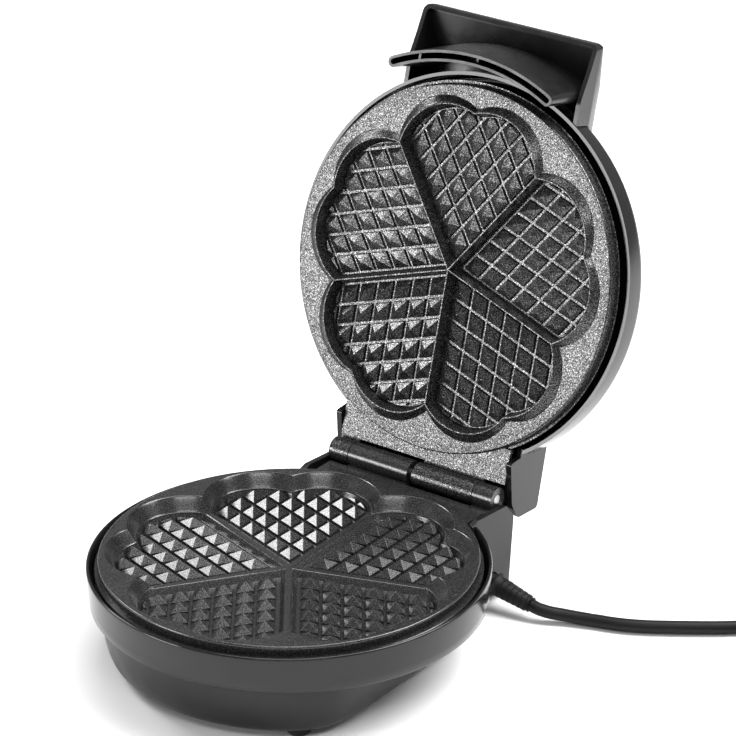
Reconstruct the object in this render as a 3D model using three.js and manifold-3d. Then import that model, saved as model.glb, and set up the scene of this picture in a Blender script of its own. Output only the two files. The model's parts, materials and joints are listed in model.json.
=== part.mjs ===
// Heart waffle maker, built as an assembly of its separate pieces.
// Millimetres, +Z up, +X along the hinge, and the handle points to -Y when the lid is closed.
// Every piece is drawn with the lid closed and the origin at the middle of the lower cooking
// face. The lid's group then turns about the hinge pin to the open position, the rest position.
import * as THREE from 'three';
import { mergeGeometries, mergeVertices } from 'three/addons/utils/BufferGeometryUtils.js';
import Module from 'manifold-3d';

const wasm = await Module();
wasm.setup();

// ---------------------------------------------------------------- driving dimensions
const GAP = 0.3; // between pieces that touch
const RUN = 0.5; // around a pin or shaft that turns

const FACE_HEIGHT = 56; // lower cooking face above the table
const PLATE_R = 96.6; // cooking plate at its face
const PLATE_SIDE = 5.5; // height of the plate's bright side wall
const PLATE_GAP = 0.6; // between the two faces of the closed plates
const PLATE_FLOOR = 2; // metal under the studs
const SHELL_R = 102.6; // both round shells, outside
const SHELL_WALL = 1.8;
const FLANGE_R = SHELL_R - SHELL_WALL - 2.4; // plate flange, inside the shells
const FLANGE_T = 2.6;

const HINGE_Y = SHELL_R + 7.7; // hinge pin behind the plate centre
const OPEN_ANGLE = 106; // degrees between closed and open
const KNUCKLE_R = 6.5;
const PIN_R = 2.5;
const KNUCKLE_GAP = 1.5; // half of the gap between the middle knuckles
const LONG_KNUCKLE = 38;
const SHORT_KNUCKLE = 12;
const DECK_DROP = 3.6; // plate face down to the deck that carries the knuckles
const DECK_T = 2.8;

const BLOCK_HALF = 56; // half width of both rear housings
const BLOCK_WALL = 3.2;
const BAND_HALF = 54; // half width of the handle and of the raised band on the lid
const BAND_WALL = 2.4;

const SHELL_RIM = 3.5; // lower face down to the lower shell's rim
const PAN_BOTTOM = 51; // lower face down to the underside of the pan
const PAN_WALL = 2.4;
const PAN_R = 97;
const PAN_HALF = 78; // flat sides of the pan, at its top
const PAN_TAPER = 8; // how much each side of the pan draws in towards the table
const PAN_REAR = 92;
const BLOCK_FRONT = HINGE_Y - 30.3; // front of the rear housing

const LID_BLOCK_FRONT = HINGE_Y - 27.3; // front of the lid's rear block
const LID_RIM = 9.5; // height of the lid shell's rim over the lower face
const LID_SIDE = 19.5; // where its straight side ends
const LID_CROWN = 30.6;
const BAND_TOP = 34; // top of the raised band

const HANDLE_REACH = 27.4; // handle's front edge beyond the shells
const HANDLE_FRONT = SHELL_R + HANDLE_REACH; // from the plate centre
const HANDLE_LIP = 18; // height of its lower front edge
const GUARD_IN = SHELL_R + 5.4; // inside radius of the heat guard
const GUARD_T = 6; // across its two walls
const GUARD_DROP = 13; // how far it reaches below the lower face
const GUARD_HALF = 50.6; // half its width

const TUBE_D = 6.2; // heating element
const DISH_T = 0.8; // reflector under the element
const DISH_ROOM = 1.1; // between the lower reflector and the shell's floor
const SHELL_FLOOR = 1.6;
const WELL_DEPTH = 11; // lower plate's face down to the floor of its hearts
// Lower face down to the lower shell's bottom edge: the plate, element and reflector fit above.
const SHELL_FOOT = WELL_DEPTH + PLATE_FLOOR + 2 * GAP + TUBE_D + DISH_T + DISH_ROOM + SHELL_FLOOR;
const ELEMENT_R = 58;
const FOOT_R = 6;
const CORD_D = 6.8;
const KNOB_Y = -62; // knob and lamps, on the lid's band
const LAMP_X = 26;

const HEARTS = 5;
const HEART_HALF = Math.PI / HEARTS; // half the angle of one heart
const LOBE_STEPS = 6;
const ROUND = 48; // sides of the large circles

// Each plate's hearts: the middle and radius of a lobe where its wall starts, how far its middle
// and its wall draw in towards the floor, the depth of the floor, and the height and half width
// of the ribs between hearts. The upper plate's hearts are sunk in a raised part that reaches into
// the lower plate; its foot is the outline of that part at the face.
const LOWER = {
  rise: 0,
  lobeX: 61, lobeY: 15.5, lobeR: 30.8, drawX: 0, drawY: 0, lean: 6.6, depth: WELL_DEPTH,
  ribDrop: 7.3, ribTop: 1.9, ribFoot: 4.2, studEdge: 5.5, studHeight: 5, deckHalf: 50,
};
const UPPER = {
  rise: 3, foot: { x: 59, y: 15, radius: 29.8 }, lip: 0.9,
  lobeX: 54.2, lobeY: 11.9, lobeR: 30.4, drawX: 1, drawY: 0.7, lean: 1, depth: 4.4,
  ribDrop: 0, ribTop: 0.4, ribFoot: 2.3, studEdge: 2.65, studHeight: 4.1,
  deckHalf: BLOCK_HALF - BLOCK_WALL - 0.4,
};
const STUD_PITCH = 11.25; // along the straight sides of a heart
const VALLEY = 1.3; // width of the flat between studs
const STUD_ROOT = 0.5; // how far a stud reaches into the floor

// Centreline of the free cord on the table, in the finished part's frame.
const CORD_ROUTE = [
  [80.7, 48.7, 7.8], [84.5, 49, 6.9], [90, 51, 5.7], [97, 54.7, 4.6], [105, 58.2, 3.8],
  [114.6, 61.6, 3.5], [124.7, 65, 3.5], [134.4, 69.7, 3.5], [146, 76.9, 3.5],
  [158, 85.1, 3.5], [170, 93.8, 3.5], [181, 102.3, 3.9], [191.6, 110.3, 4.4],
];
const CORD_END_ROUTE = [
  [276.9, 67.2, 11.5], [276.9, 61, 12.1], [276.9, 51, 14.8], [276.9, 41, 18.1], [276.9, 34, 18.8],
];
const COIL = { x: 235.7, y: 92, inR: 30.4, outR: 44.6, low: 0.9, high: 15.1 };
const PLUG = { x: 276.9, y: 33.7, z: 18.8 }; // where the cord enters the plug

// ---------------------------------------------------------------- materials
const finish = (color, roughness, metalness) => (
  new THREE.MeshStandardMaterial({ color, roughness, metalness })
);
const MATERIALS = {
  shell: finish(0x2b2c2e, 0.22, 0.35),
  housing: finish(0x303133, 0.38, 0.1),
  grip: finish(0x17181a, 0.55, 0),
  lowerPlate: finish(0x3c3c3d, 0.5, 0.35),
  upperPlate: finish(0x9a9b9c, 0.45, 0.6),
  steel: finish(0xb9bbbd, 0.3, 1),
  foil: finish(0xc8cacb, 0.35, 1),
  element: finish(0x6d6a66, 0.5, 0.8),
  ceramic: finish(0xe4e0d4, 0.7, 0),
  rubber: finish(0x141414, 0.85, 0),
  cord: finish(0x0e0e0f, 0.6, 0),
  red: finish(0xb3211c, 0.25, 0),
  green: finish(0x2c9a44, 0.25, 0),
};

// ---------------------------------------------------------------- shape helpers
const X_AXIS = new THREE.Vector3(1, 0, 0);
const Y_AXIS = new THREE.Vector3(0, 1, 0);
const Z_AXIS = new THREE.Vector3(0, 0, 1);
const radians = THREE.MathUtils.degToRad;

// A closed three.js geometry as a solid that can be cut and joined.
function solid(geometry) {
  const bare = geometry.clone();
  bare.deleteAttribute('normal');
  bare.deleteAttribute('uv');
  const merged = mergeVertices(bare, 1e-4);
  const old = merged.index.array;
  const kept = [];
  for (let i = 0; i < old.length; i += 3) {
    const [a, b, c] = [old[i], old[i + 1], old[i + 2]];
    if (a !== b && b !== c && c !== a) kept.push(a, b, c);
  }
  return new wasm.Manifold(new wasm.Mesh({
    numProp: 3,
    vertProperties: Float32Array.from(merged.attributes.position.array),
    triVerts: Uint32Array.from(kept),
  }));
}

function geometryOf(body) {
  const mesh = body.getMesh();
  const geometry = new THREE.BufferGeometry();
  geometry.setAttribute('position', new THREE.BufferAttribute(mesh.vertProperties, 3));
  geometry.setIndex(new THREE.BufferAttribute(mesh.triVerts, 1));
  geometry.computeVertexNormals();
  return geometry;
}

const join = (first, ...rest) => rest.reduce((whole, next) => whole.add(next), first);
const cut = (body, ...tools) => tools.reduce((left, tool) => left.subtract(tool), body);

// Turned shape. The profile lists radius and height, from the bottom out, up and back in.
function turned(profile, sides = ROUND) {
  const points = profile.map(([r, z]) => new THREE.Vector2(r, z));
  return solid(new THREE.LatheGeometry(points, sides).rotateX(Math.PI / 2));
}

// A ring's profile closes on itself.
const turnedRing = (profile, sides) => turned([...profile, profile[0]], sides);

function outline(points) {
  return new THREE.Shape(points.map(([u, v]) => new THREE.Vector2(u, v)));
}

function box(lowX, highX, lowY, highY, lowZ, highZ) {
  const geometry = new THREE.BoxGeometry(highX - lowX, highY - lowY, highZ - lowZ);
  return solid(geometry.translate((lowX + highX) / 2, (lowY + highY) / 2, (lowZ + highZ) / 2));
}

// Side view, listed as y and z, drawn out along X.
function alongX(points, lowX, highX) {
  const depth = highX - lowX;
  const geometry = new THREE.ExtrudeGeometry(outline(points), { depth, bevelEnabled: false });
  geometry.applyMatrix4(new THREE.Matrix4().makeBasis(Y_AXIS, Z_AXIS, X_AXIS));
  return solid(geometry.translate(lowX, 0, 0));
}

// Front view, listed as x and z, drawn out along Y.
function alongY(points, lowY, highY) {
  const depth = highY - lowY;
  const geometry = new THREE.ExtrudeGeometry(outline(points), { depth, bevelEnabled: false });
  geometry.applyMatrix4(new THREE.Matrix4().makeBasis(X_AXIS, Z_AXIS, Y_AXIS.clone().negate()));
  return solid(geometry.translate(0, highY, 0));
}

// Plan view drawn up along Z.
function alongZ(shape, lowZ, highZ) {
  const depth = highZ - lowZ;
  const geometry = new THREE.ExtrudeGeometry(shape, { depth, bevelEnabled: false });
  return solid(geometry.translate(0, 0, lowZ));
}

function rodX(radius, lowX, highX, y, z, sides = 20) {
  const geometry = new THREE.CylinderGeometry(radius, radius, highX - lowX, sides);
  return solid(geometry.rotateZ(Math.PI / 2).translate((lowX + highX) / 2, y, z));
}

function rodZ(radius, lowZ, highZ, x, y, sides = 20) {
  const geometry = new THREE.CylinderGeometry(radius, radius, highZ - lowZ, sides);
  return solid(geometry.rotateX(Math.PI / 2).translate(x, y, (lowZ + highZ) / 2));
}

// Two triangles between each pair of neighbouring points on stacked rings, and flat ends.
function loft(rings) {
  const count = rings[0].length;
  const index = [];
  for (let level = 0; level + 1 < rings.length; level += 1) {
    for (let i = 0; i < count; i += 1) {
      const a = level * count + i;
      const b = level * count + ((i + 1) % count);
      index.push(a, b, b + count, a, b + count, a + count);
    }
  }
  addEnd(index, rings[0], 0, false);
  addEnd(index, rings.at(-1), (rings.length - 1) * count, true);
  const geometry = new THREE.BufferGeometry();
  geometry.setAttribute('position', new THREE.Float32BufferAttribute(rings.flat(2), 3));
  geometry.setIndex(index);
  return solid(geometry);
}

function addEnd(index, ring, offset, facesUp) {
  const flat = ring.map(([x, y]) => new THREE.Vector2(x, y));
  const triangles = THREE.ShapeUtils.triangulateShape(flat, []);
  const area = triangles.reduce((sum, corners) => (
    sum + THREE.ShapeUtils.area(corners.map((corner) => flat[corner]))
  ), 0);
  for (const [a, b, c] of triangles) {
    const turn = (area > 0) === facesUp ? [a, b, c] : [a, c, b];
    index.push(...turn.map((corner) => corner + offset));
  }
}

// Round bar along a smooth line through the points.
function bar(points, diameter, steps, sides) {
  const path = new THREE.CatmullRomCurve3(points.map((point) => new THREE.Vector3(...point)));
  const section = [];
  for (let i = 0; i < sides; i += 1) {
    const turn = (2 * Math.PI * i) / sides;
    section.push([(diameter / 2) * Math.cos(turn), (diameter / 2) * Math.sin(turn)]);
  }
  return solid(new THREE.ExtrudeGeometry(outline(section), { steps, extrudePath: path }));
}

function piece(name, body, material) {
  const mesh = new THREE.Mesh(geometryOf(body), material.clone());
  mesh.name = name;
  return mesh;
}

// ---------------------------------------------------------------- cooking plates
// Middle and wall radius of a lobe at a depth below the face.
function lobeAt(heart, depth) {
  const share = depth / heart.depth;
  return {
    x: heart.lobeX - heart.drawX * share, y: heart.lobeY - heart.drawY * share,
    radius: heart.lobeR - heart.lean * share,
  };
}

// Points of one lobe, from the notch on the heart's axis round to its straight side.
function lobe({ x, y, radius }, sideGap) {
  const tipX = sideGap / Math.sin(HEART_HALF);
  const along = [Math.cos(HEART_HALF), Math.sin(HEART_HALF)];
  const back = [tipX - x, -y];
  const half = back[0] * along[0] + back[1] * along[1];
  const reach = -half + Math.sqrt(half ** 2 - back[0] ** 2 - back[1] ** 2 + radius ** 2);
  const side = [back[0] + reach * along[0], back[1] + reach * along[1]];
  const first = Math.atan2(-y, Math.sqrt(radius ** 2 - y ** 2));
  const last = Math.atan2(side[1], side[0]);
  const points = [];
  for (let i = 0; i <= LOBE_STEPS; i += 1) {
    const turn = first + ((last - first) * i) / LOBE_STEPS;
    points.push([x + radius * Math.cos(turn), i ? y + radius * Math.sin(turn) : 0]);
  }
  return points;
}

function placeRing(points, turn, z) {
  return points.map(([x, y]) => [
    x * Math.cos(turn) - y * Math.sin(turn), x * Math.sin(turn) + y * Math.cos(turn), z,
  ]);
}

// A whole heart, anticlockwise from its tip.
function heartRing(place, sideGap, turn, z) {
  const upper = lobe(place, sideGap);
  const lower = upper.slice(1).reverse().map(([x, y]) => [x, -y]);
  return placeRing([[sideGap / Math.sin(HEART_HALF), 0], ...lower, ...upper], turn, z);
}

// All five hearts joined into one flower, above the ribs.
function flowerRing(place, z) {
  const upper = lobe(place, 0);
  const lower = upper.slice(1).reverse().map(([x, y]) => [x, -y]);
  const petal = [...lower, ...upper.slice(0, -1)];
  return heartTurns().flatMap((turn) => placeRing(petal, turn, z));
}

// The first heart's notch faces the handle, so a rib runs straight back to the hinge.
function heartTurns() {
  return Array.from({ length: HEARTS }, (_, i) => -Math.PI / 2 + 2 * HEART_HALF * i);
}

function heartCut(heart, turn) {
  return loft([
    heartRing(lobeAt(heart, heart.depth), heart.ribFoot, turn, -heart.depth),
    heartRing(lobeAt(heart, heart.ribDrop), heart.ribTop, turn, heart.rise - heart.ribDrop),
    heartRing(lobeAt(heart, heart.ribDrop), heart.ribTop, turn, heart.rise - heart.ribDrop + 1),
  ]);
}

// Raised part of the upper plate, with a lip around its hearts.
function raisedBody(heart) {
  const rim = lobeAt(heart, 0);
  return loft([
    flowerRing(heart.foot, -1), flowerRing(heart.foot, 0),
    flowerRing({ ...rim, radius: rim.radius + heart.lip }, heart.rise),
  ]);
}

function flowerCut(heart) {
  return loft([
    flowerRing(lobeAt(heart, heart.ribDrop), -heart.ribDrop),
    flowerRing(lobeAt(heart, 0), 0),
    flowerRing(lobeAt(heart, 0), 1),
  ]);
}

// One stud, a four-sided pyramid with a short root. Its edges follow the heart's two sides.
function stud(corner, first, second, height, floor) {
  const run = VALLEY / 2 / Math.sin(2 * HEART_HALF);
  const far = STUD_PITCH - run;
  const place = (i, j, z) => [
    corner[0] + first[0] * i + second[0] * j, corner[1] + first[1] * i + second[1] * j, z,
  ];
  const ring = (z) => [
    place(run, run, z), place(far, run, z), place(far, far, z), place(run, far, z),
  ];
  const peak = place(STUD_PITCH / 2, STUD_PITCH / 2, floor + height);
  const positions = [...ring(floor - STUD_ROOT), ...ring(floor), peak];
  const index = [0, 2, 1, 0, 3, 2];
  for (let i = 0; i < 4; i += 1) {
    const next = (i + 1) % 4;
    index.push(i, next, next + 4, i, next + 4, i + 4);
    index.push(i + 4, next + 4, 8);
  }
  const geometry = new THREE.BufferGeometry();
  geometry.setAttribute('position', new THREE.Float32BufferAttribute(positions.flat(), 3));
  geometry.setIndex(index);
  return geometry;
}

// Whether a stud's peak, counted in pitches along the heart's two sides, is over its floor.
function overFloor(heart, start, i, j) {
  const x = start + (i + j) * STUD_PITCH * Math.cos(HEART_HALF);
  const y = Math.abs(j - i) * STUD_PITCH * Math.sin(HEART_HALF);
  const floor = lobeAt(heart, heart.depth);
  return x < floor.x || Math.hypot(x - floor.x, y - floor.y) < floor.radius - 1;
}

// Studs all over one heart's floor, trimmed to its outline.
function studField(heart, turn) {
  const first = [Math.cos(turn - HEART_HALF), Math.sin(turn - HEART_HALF)];
  const second = [Math.cos(turn + HEART_HALF), Math.sin(turn + HEART_HALF)];
  const start = heart.studEdge / Math.sin(HEART_HALF);
  const studs = [];
  const rows = Math.ceil(PLATE_R / STUD_PITCH);
  for (let i = 0; i < rows; i += 1) {
    for (let j = 0; j < rows; j += 1) {
      if (!overFloor(heart, start, i + 0.5, j + 0.5)) continue;
      const corner = [
        start * Math.cos(turn) + (first[0] * i + second[0] * j) * STUD_PITCH,
        start * Math.sin(turn) + (first[1] * i + second[1] * j) * STUD_PITCH,
      ];
      studs.push(stud(corner, first, second, heart.studHeight, -heart.depth));
    }
  }
  const floor = lobeAt(heart, heart.depth);
  const area = { ...floor, radius: floor.radius - 0.8 };
  const trim = loft([
    heartRing(area, heart.studEdge, turn, -heart.depth - STUD_ROOT / 2),
    heartRing(area, heart.studEdge, turn, 1),
  ]);
  return solid(mergeGeometries(studs)).intersect(trim);
}

const KNUCKLES = [
  [-KNUCKLE_GAP - LONG_KNUCKLE, -KNUCKLE_GAP],
  [KNUCKLE_GAP + LONG_KNUCKLE + 0.5, KNUCKLE_GAP + LONG_KNUCKLE + 0.5 + SHORT_KNUCKLE],
];
const KNUCKLE_END = KNUCKLES[1][1];
const DECK_END = HINGE_Y - KNUCKLE_R - 1;
const HINGE_Z = PLATE_GAP / 2;
const PLATE_SCREW_R = 86;
const PLATE_SCREW_TURNS = [HEART_HALF * 2 - Math.PI / 2 - HEART_HALF, -Math.PI / 2 - HEART_HALF];

// A cast plate, face up, with its deck and hinge knuckles. Both plates are the same casting
// apart from their hearts; the upper one is turned over, so its knuckles fall between.
function platePiece(heart) {
  const back = -heart.depth - PLATE_FLOOR;
  const flangeTop = -PLATE_SIDE;
  const disc = turned([
    [0, back], [PLATE_R - 7, back], [FLANGE_R - 4, Math.max(back, flangeTop - FLANGE_T)],
    [FLANGE_R, flangeTop - FLANGE_T + 0.2], [FLANGE_R, flangeTop], [PLATE_R, flangeTop],
    [PLATE_R - 0.1, -0.8], [PLATE_R - 0.8, 0], [0, 0],
  ]);
  const deckTop = -DECK_DROP;
  const deck = box(-heart.deckHalf, heart.deckHalf, HINGE_Y - 35.3, DECK_END, deckTop - DECK_T, deckTop);
  const arms = KNUCKLES.map(([low, high]) => (
    box(low, high, DECK_END - 4, HINGE_Y, HINGE_Z - KNUCKLE_R + 0.1, deckTop)
  ));
  const barrels = KNUCKLES.map(([low, high]) => rodX(KNUCKLE_R, low, high, HINGE_Y, HINGE_Z, 24));
  const bore = rodX(PIN_R + RUN, -KNUCKLE_END - 1, KNUCKLE_END + 1, HINGE_Y, HINGE_Z);
  let body = join(disc, deck, ...arms, ...barrels).subtract(bore);
  if (heart.rise > 0) body = body.add(raisedBody(heart));
  if (heart.ribDrop > 0) body = body.subtract(flowerCut(heart));
  for (const turn of heartTurns()) body = body.subtract(heartCut(heart, turn));
  for (const turn of heartTurns()) body = body.add(studField(heart, turn));
  for (const [x, y] of plateScrewPlaces()) {
    body = body.subtract(rodZ(1.8, back - 1, back + 4, x, y, 12));
  }
  return body;
}

function plateScrewPlaces() {
  return PLATE_SCREW_TURNS.map((turn) => (
    [PLATE_SCREW_R * Math.cos(turn), PLATE_SCREW_R * Math.sin(turn)]
  ));
}

// Turned over about the Y axis, so that the face looks down.
function turnedOver(body) {
  return body.rotate([0, 180, 0]).translate([0, 0, PLATE_GAP]);
}

// ---------------------------------------------------------------- heaters, drawn face up
const plateBack = (heart) => -heart.depth - PLATE_FLOOR;
const elementZ = (heart) => plateBack(heart) - GAP - TUBE_D / 2;
const dishTop = (heart) => elementZ(heart) - TUBE_D / 2 - GAP;
const LEG_X = 20;

// Nearly a full ring under the plate, with both legs running back past the hinge deck.
function elementBody(heart) {
  const z = elementZ(heart);
  const open = Math.asin(LEG_X / ELEMENT_R) + radians(9);
  const points = [[-LEG_X, 88, z], [-LEG_X, 78, z], [-LEG_X, 67, z]];
  const turns = 14;
  for (let i = 0; i <= turns; i += 1) {
    const turn = Math.PI / 2 + open + ((2 * Math.PI - 2 * open) * i) / turns;
    points.push([ELEMENT_R * Math.cos(turn), ELEMENT_R * Math.sin(turn), z]);
  }
  points.push([LEG_X, 67, z], [LEG_X, 78, z], [LEG_X, 88, z]);
  return bar(points, TUBE_D, 28, 6);
}

// Shallow metal dish that throws the heat back at the plate.
function dishBody(heart, rimZ, radius) {
  const top = dishTop(heart);
  const dish = turned([
    [0, top - DISH_T], [radius, top - DISH_T], [radius + DISH_T, top], [radius + DISH_T, rimZ],
    [radius, rimZ], [radius - DISH_T, top], [0, top],
  ], 28);
  const legs = box(-LEG_X - 5, LEG_X + 5, 60, 110, top + 0.1, rimZ + 1);
  const holes = plateScrewPlaces().map(([x, y]) => rodZ(1.8, top - 2, top + 1, x, y, 12));
  return cut(dish, legs, ...holes);
}

// Pan-head screw pointing up, its head's underside at z.
function screwUp(x, y, z, length, headR = 3.2, shankR = 1.5) {
  const head = rodZ(headR, z - 2, z, x, y, 14);
  return head.add(rodZ(shankR, z - 0.5, z + length, x, y, 12));
}

// ---------------------------------------------------------------- base
function lowerShellBody() {
  const inner = SHELL_R - SHELL_WALL;
  const ring = turnedRing([
    [72, -SHELL_FOOT], [SHELL_R - 1.9, -SHELL_FOOT], [SHELL_R - 1.3, -SHELL_FOOT + 0.7],
    [SHELL_R, -SHELL_RIM - 0.8], [SHELL_R - 0.5, -SHELL_RIM], [inner, -SHELL_RIM],
    [inner - 1.3, -SHELL_FOOT + SHELL_FLOOR], [72, -SHELL_FOOT + SHELL_FLOOR],
  ]);
  const rear = box(-BLOCK_HALF - GAP, BLOCK_HALF + GAP, 60, HINGE_Y + 20, -30, 10);
  const holes = panScrewPlaces().map(([x, y]) => rodZ(1.9, -SHELL_FOOT - 1, -20, x, y, 12));
  const access = plateScrewPlaces().map(([x, y]) => rodZ(4, -SHELL_FOOT - 1, -20, x, y, 12));
  return cut(ring, rear, ...holes, ...access);
}

// Outline of the pan: a circle with flat sides and a flat rear, blended at the corners.
function panRing(radius, half, rear, z) {
  const sharp = 18;
  const sides = 40;
  const points = [];
  for (let i = 0; i < sides; i += 1) {
    const turn = (2 * Math.PI * i) / sides;
    const limits = [1 / radius, Math.abs(Math.cos(turn)) / half, Math.max(Math.sin(turn), 0) / rear];
    const reach = limits.reduce((sum, limit) => sum + limit ** sharp, 0) ** (-1 / sharp);
    points.push([reach * Math.cos(turn), reach * Math.sin(turn), z]);
  }
  return points;
}

// Height below the face, as a share of the way down, and how far the side has drawn in there.
const PAN_STEPS = [[0, 0], [0.6, 0.3], [0.93, 0.72], [1, 1]];
const panTop = -SHELL_FOOT - GAP;

function panLoft(inset, low, high) {
  return loft([...PAN_STEPS].reverse().map(([down, drawn]) => panRing(
    PAN_R - inset - PAN_TAPER * drawn, PAN_HALF - inset - PAN_TAPER * drawn,
    PAN_REAR - inset - 2 * drawn, high - (high - low) * down,
  )));
}

function panScrewPlaces() {
  return [[-61, -46], [61, -46], [-64, 44], [64, 44]];
}

const PAN_FLOOR = -PAN_BOTTOM + PAN_WALL;

function basePanBody() {
  const outer = panLoft(0, -PAN_BOTTOM, panTop);
  const inner = panLoft(PAN_WALL, PAN_FLOOR, panTop);
  const lift = box(-60, 60, -60, 60, panTop - 1, panTop + 1);
  const rear = box(-BLOCK_HALF - GAP, BLOCK_HALF + GAP, BLOCK_FRONT - GAP, HINGE_Y + 20, -60, 0);
  const hollow = inner.add(lift);
  const trim = panLoft(0, -PAN_BOTTOM, panTop);
  const bosses = panScrewPlaces().map(([x, y]) => (
    rodZ(5.5, -PAN_BOTTOM, panTop, x, y, 12).intersect(trim)
  ));
  const bores = panScrewPlaces().flatMap(([x, y]) => [
    rodZ(3.6, -PAN_BOTTOM - 1, -PAN_BOTTOM + 6.6, x, y, 12), rodZ(1.9, -PAN_BOTTOM, 0, x, y, 12),
  ]);
  const vents = ventPlaces().map(([x, y]) => box(x - 1.5, x + 1.5, y - 14, y + 14, -60, -40));
  return cut(join(outer.subtract(hollow), ...bosses), rear, ...bores, ...vents);
}

function ventPlaces() {
  return [-24, -16, -8, 0, 8, 16, 24].map((x) => [x, -20]);
}

// Side view of the rear housing, as y from the hinge and z.
const REAR_SIDE = [
  [BLOCK_FRONT - HINGE_Y, -PAN_BOTTOM], [5.2, -PAN_BOTTOM], [6.3, -PAN_BOTTOM + 1.4],
  [9.7, -12], [2.7, -3], [-22.3, -1], [BLOCK_FRONT - HINGE_Y, -SHELL_RIM],
];
const REAR_HOLLOW = [
  [-40.3, PAN_FLOOR], [6.3 - BLOCK_WALL, PAN_FLOOR], [6.3, -13.3], [1.3, -6.4], [-4.3, 10],
  [-40.3, 10],
];
const fromHinge = (side) => side.map(([y, z]) => [HINGE_Y + y, z]);

function rearHousingBody() {
  const outer = alongX(fromHinge(REAR_SIDE), -BLOCK_HALF, BLOCK_HALF);
  const inner = BLOCK_HALF - BLOCK_WALL;
  const hollow = alongX(fromHinge(REAR_HOLLOW), -inner, inner);
  const over = box(-inner, inner, HINGE_Y - 40.3, HINGE_Y + 9.1, -8, 10);
  const flange = rodZ(FLANGE_R + 2 * GAP, -PLATE_SIDE - FLANGE_T - GAP, 5, 0, 0, ROUND);
  const eye = new THREE.CylinderGeometry(5.4, 5.4, 16, 16).rotateZ(Math.PI / 2);
  const cordHole = solid(eye.rotateY(RELIEF_TILT).translate(...RELIEF_AT));
  return cut(outer, hollow, over, flange, cordHole);
}

// ---------------------------------------------------------------- cord entry
const RELIEF_AT = [BLOCK_HALF, HINGE_Y - 9.8, -42.5]; // where the sleeve leaves the rear housing
const RELIEF_TILT = radians(13); // it leans towards the table
const RELIEF_LENGTH = 25;

// Flange inside the wall, neck through it, collar and tapered sleeve outside.
function strainReliefBody() {
  const tip = RELIEF_LENGTH;
  const flange = -BLOCK_WALL - 2.2;
  const sleeve = new THREE.LatheGeometry([
    [0, flange - 2.6], [7, flange - 2.6], [7, flange], [4.7, flange], [4.7, 2.1], [6.4, 2.1],
    [6.6, 3.1], [5.6, 4.1],
    [4.3, tip], [0, tip],
  ].map(([r, z]) => new THREE.Vector2(r, z)), 16);
  return solid(sleeve.rotateZ(-Math.PI / 2).rotateY(RELIEF_TILT).translate(...RELIEF_AT));
}

// Lead from the strain relief to the terminal block, inside the housing.
function innerLeadBody() {
  const [x, y, z] = RELIEF_AT;
  return bar([
    [x - BLOCK_WALL - 5, y, z + 1.9], [x - 13, y - 0.4, z + 2.6], [x - 20, y - 4, z + 1.4],
    [32, y - 14.5, -43.6],
    [31, 74, -44.4], [29, 66, -44.6], [25, 62.5, -44.6], [19.5, 62, -44.6],
  ], 5.6, 16, 6);
}

function terminalBlockBody() {
  const block = box(-18, 19, 55, 70, PAN_FLOOR + GAP, -35);
  const wells = [-12, 0, 12].map((x) => rodZ(2.6, -40, -34, x, 62.5, 12));
  return cut(block, ...wells);
}

function fuseBody() {
  const can = rodX(2.6, -12, 12, 30, dishTop(LOWER) - DISH_T - GAP - 2.6, 12);
  return can.add(rodX(0.8, -17, 17, 30, dishTop(LOWER) - DISH_T - GAP - 2.6, 8));
}

function footBody(x, y) {
  const foot = turned([
    [0, -FACE_HEIGHT], [FOOT_R - 0.8, -FACE_HEIGHT], [FOOT_R, -FACE_HEIGHT + 0.8],
    [FOOT_R - 0.3, -PAN_BOTTOM - GAP], [0, -PAN_BOTTOM - GAP],
  ], 16);
  return foot.translate([x, y, 0]);
}

const FEET = [
  ['foot_front_left', -52, -62], ['foot_front_right', 52, -62],
  ['foot_rear_left', -56, 66], ['foot_rear_right', 56, 66],
];

function makeBase() {
  const base = new THREE.Group();
  const lowerDish = dishBody(LOWER, plateBack(LOWER) + 1.6, 92);
  base.add(piece('lower_plate', platePiece(LOWER), MATERIALS.lowerPlate));
  base.add(piece('lower_heating_element', elementBody(LOWER), MATERIALS.element));
  base.add(piece('lower_reflector', lowerDish, MATERIALS.foil));
  base.add(piece('lower_shell', lowerShellBody(), MATERIALS.shell));
  base.add(piece('base_pan', basePanBody(), MATERIALS.housing));
  base.add(piece('rear_housing', rearHousingBody(), MATERIALS.housing));
  base.add(piece('terminal_block', terminalBlockBody(), MATERIALS.ceramic));
  base.add(piece('thermal_fuse', fuseBody(), MATERIALS.steel));
  base.add(piece('inner_lead', innerLeadBody(), MATERIALS.cord));
  base.add(piece('strain_relief', strainReliefBody(), MATERIALS.rubber));
  const pin = rodX(PIN_R, -KNUCKLE_END + GAP, KNUCKLE_END - GAP, HINGE_Y, HINGE_Z, 16);
  base.add(piece('hinge_pin', pin, MATERIALS.steel));
  for (const [name, x, y] of FEET) base.add(piece(name, footBody(x, y), MATERIALS.rubber));
  panScrewPlaces().forEach(([x, y], i) => {
    const head = -PAN_BOTTOM + 6.6 - GAP;
    const body = screwUp(x, y, head, -SHELL_FOOT + 1.2 - head);
    base.add(piece(`pan_screw_${i + 1}`, body, MATERIALS.steel));
  });
  plateScrewPlaces().forEach(([x, y], i) => {
    const head = dishTop(LOWER) - DISH_T - GAP;
    const body = screwUp(x, y, head, plateBack(LOWER) + 3.5 - head, 3, 1.4);
    base.add(piece(`lower_plate_screw_${i + 1}`, body, MATERIALS.steel));
  });
  return base;
}

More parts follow.
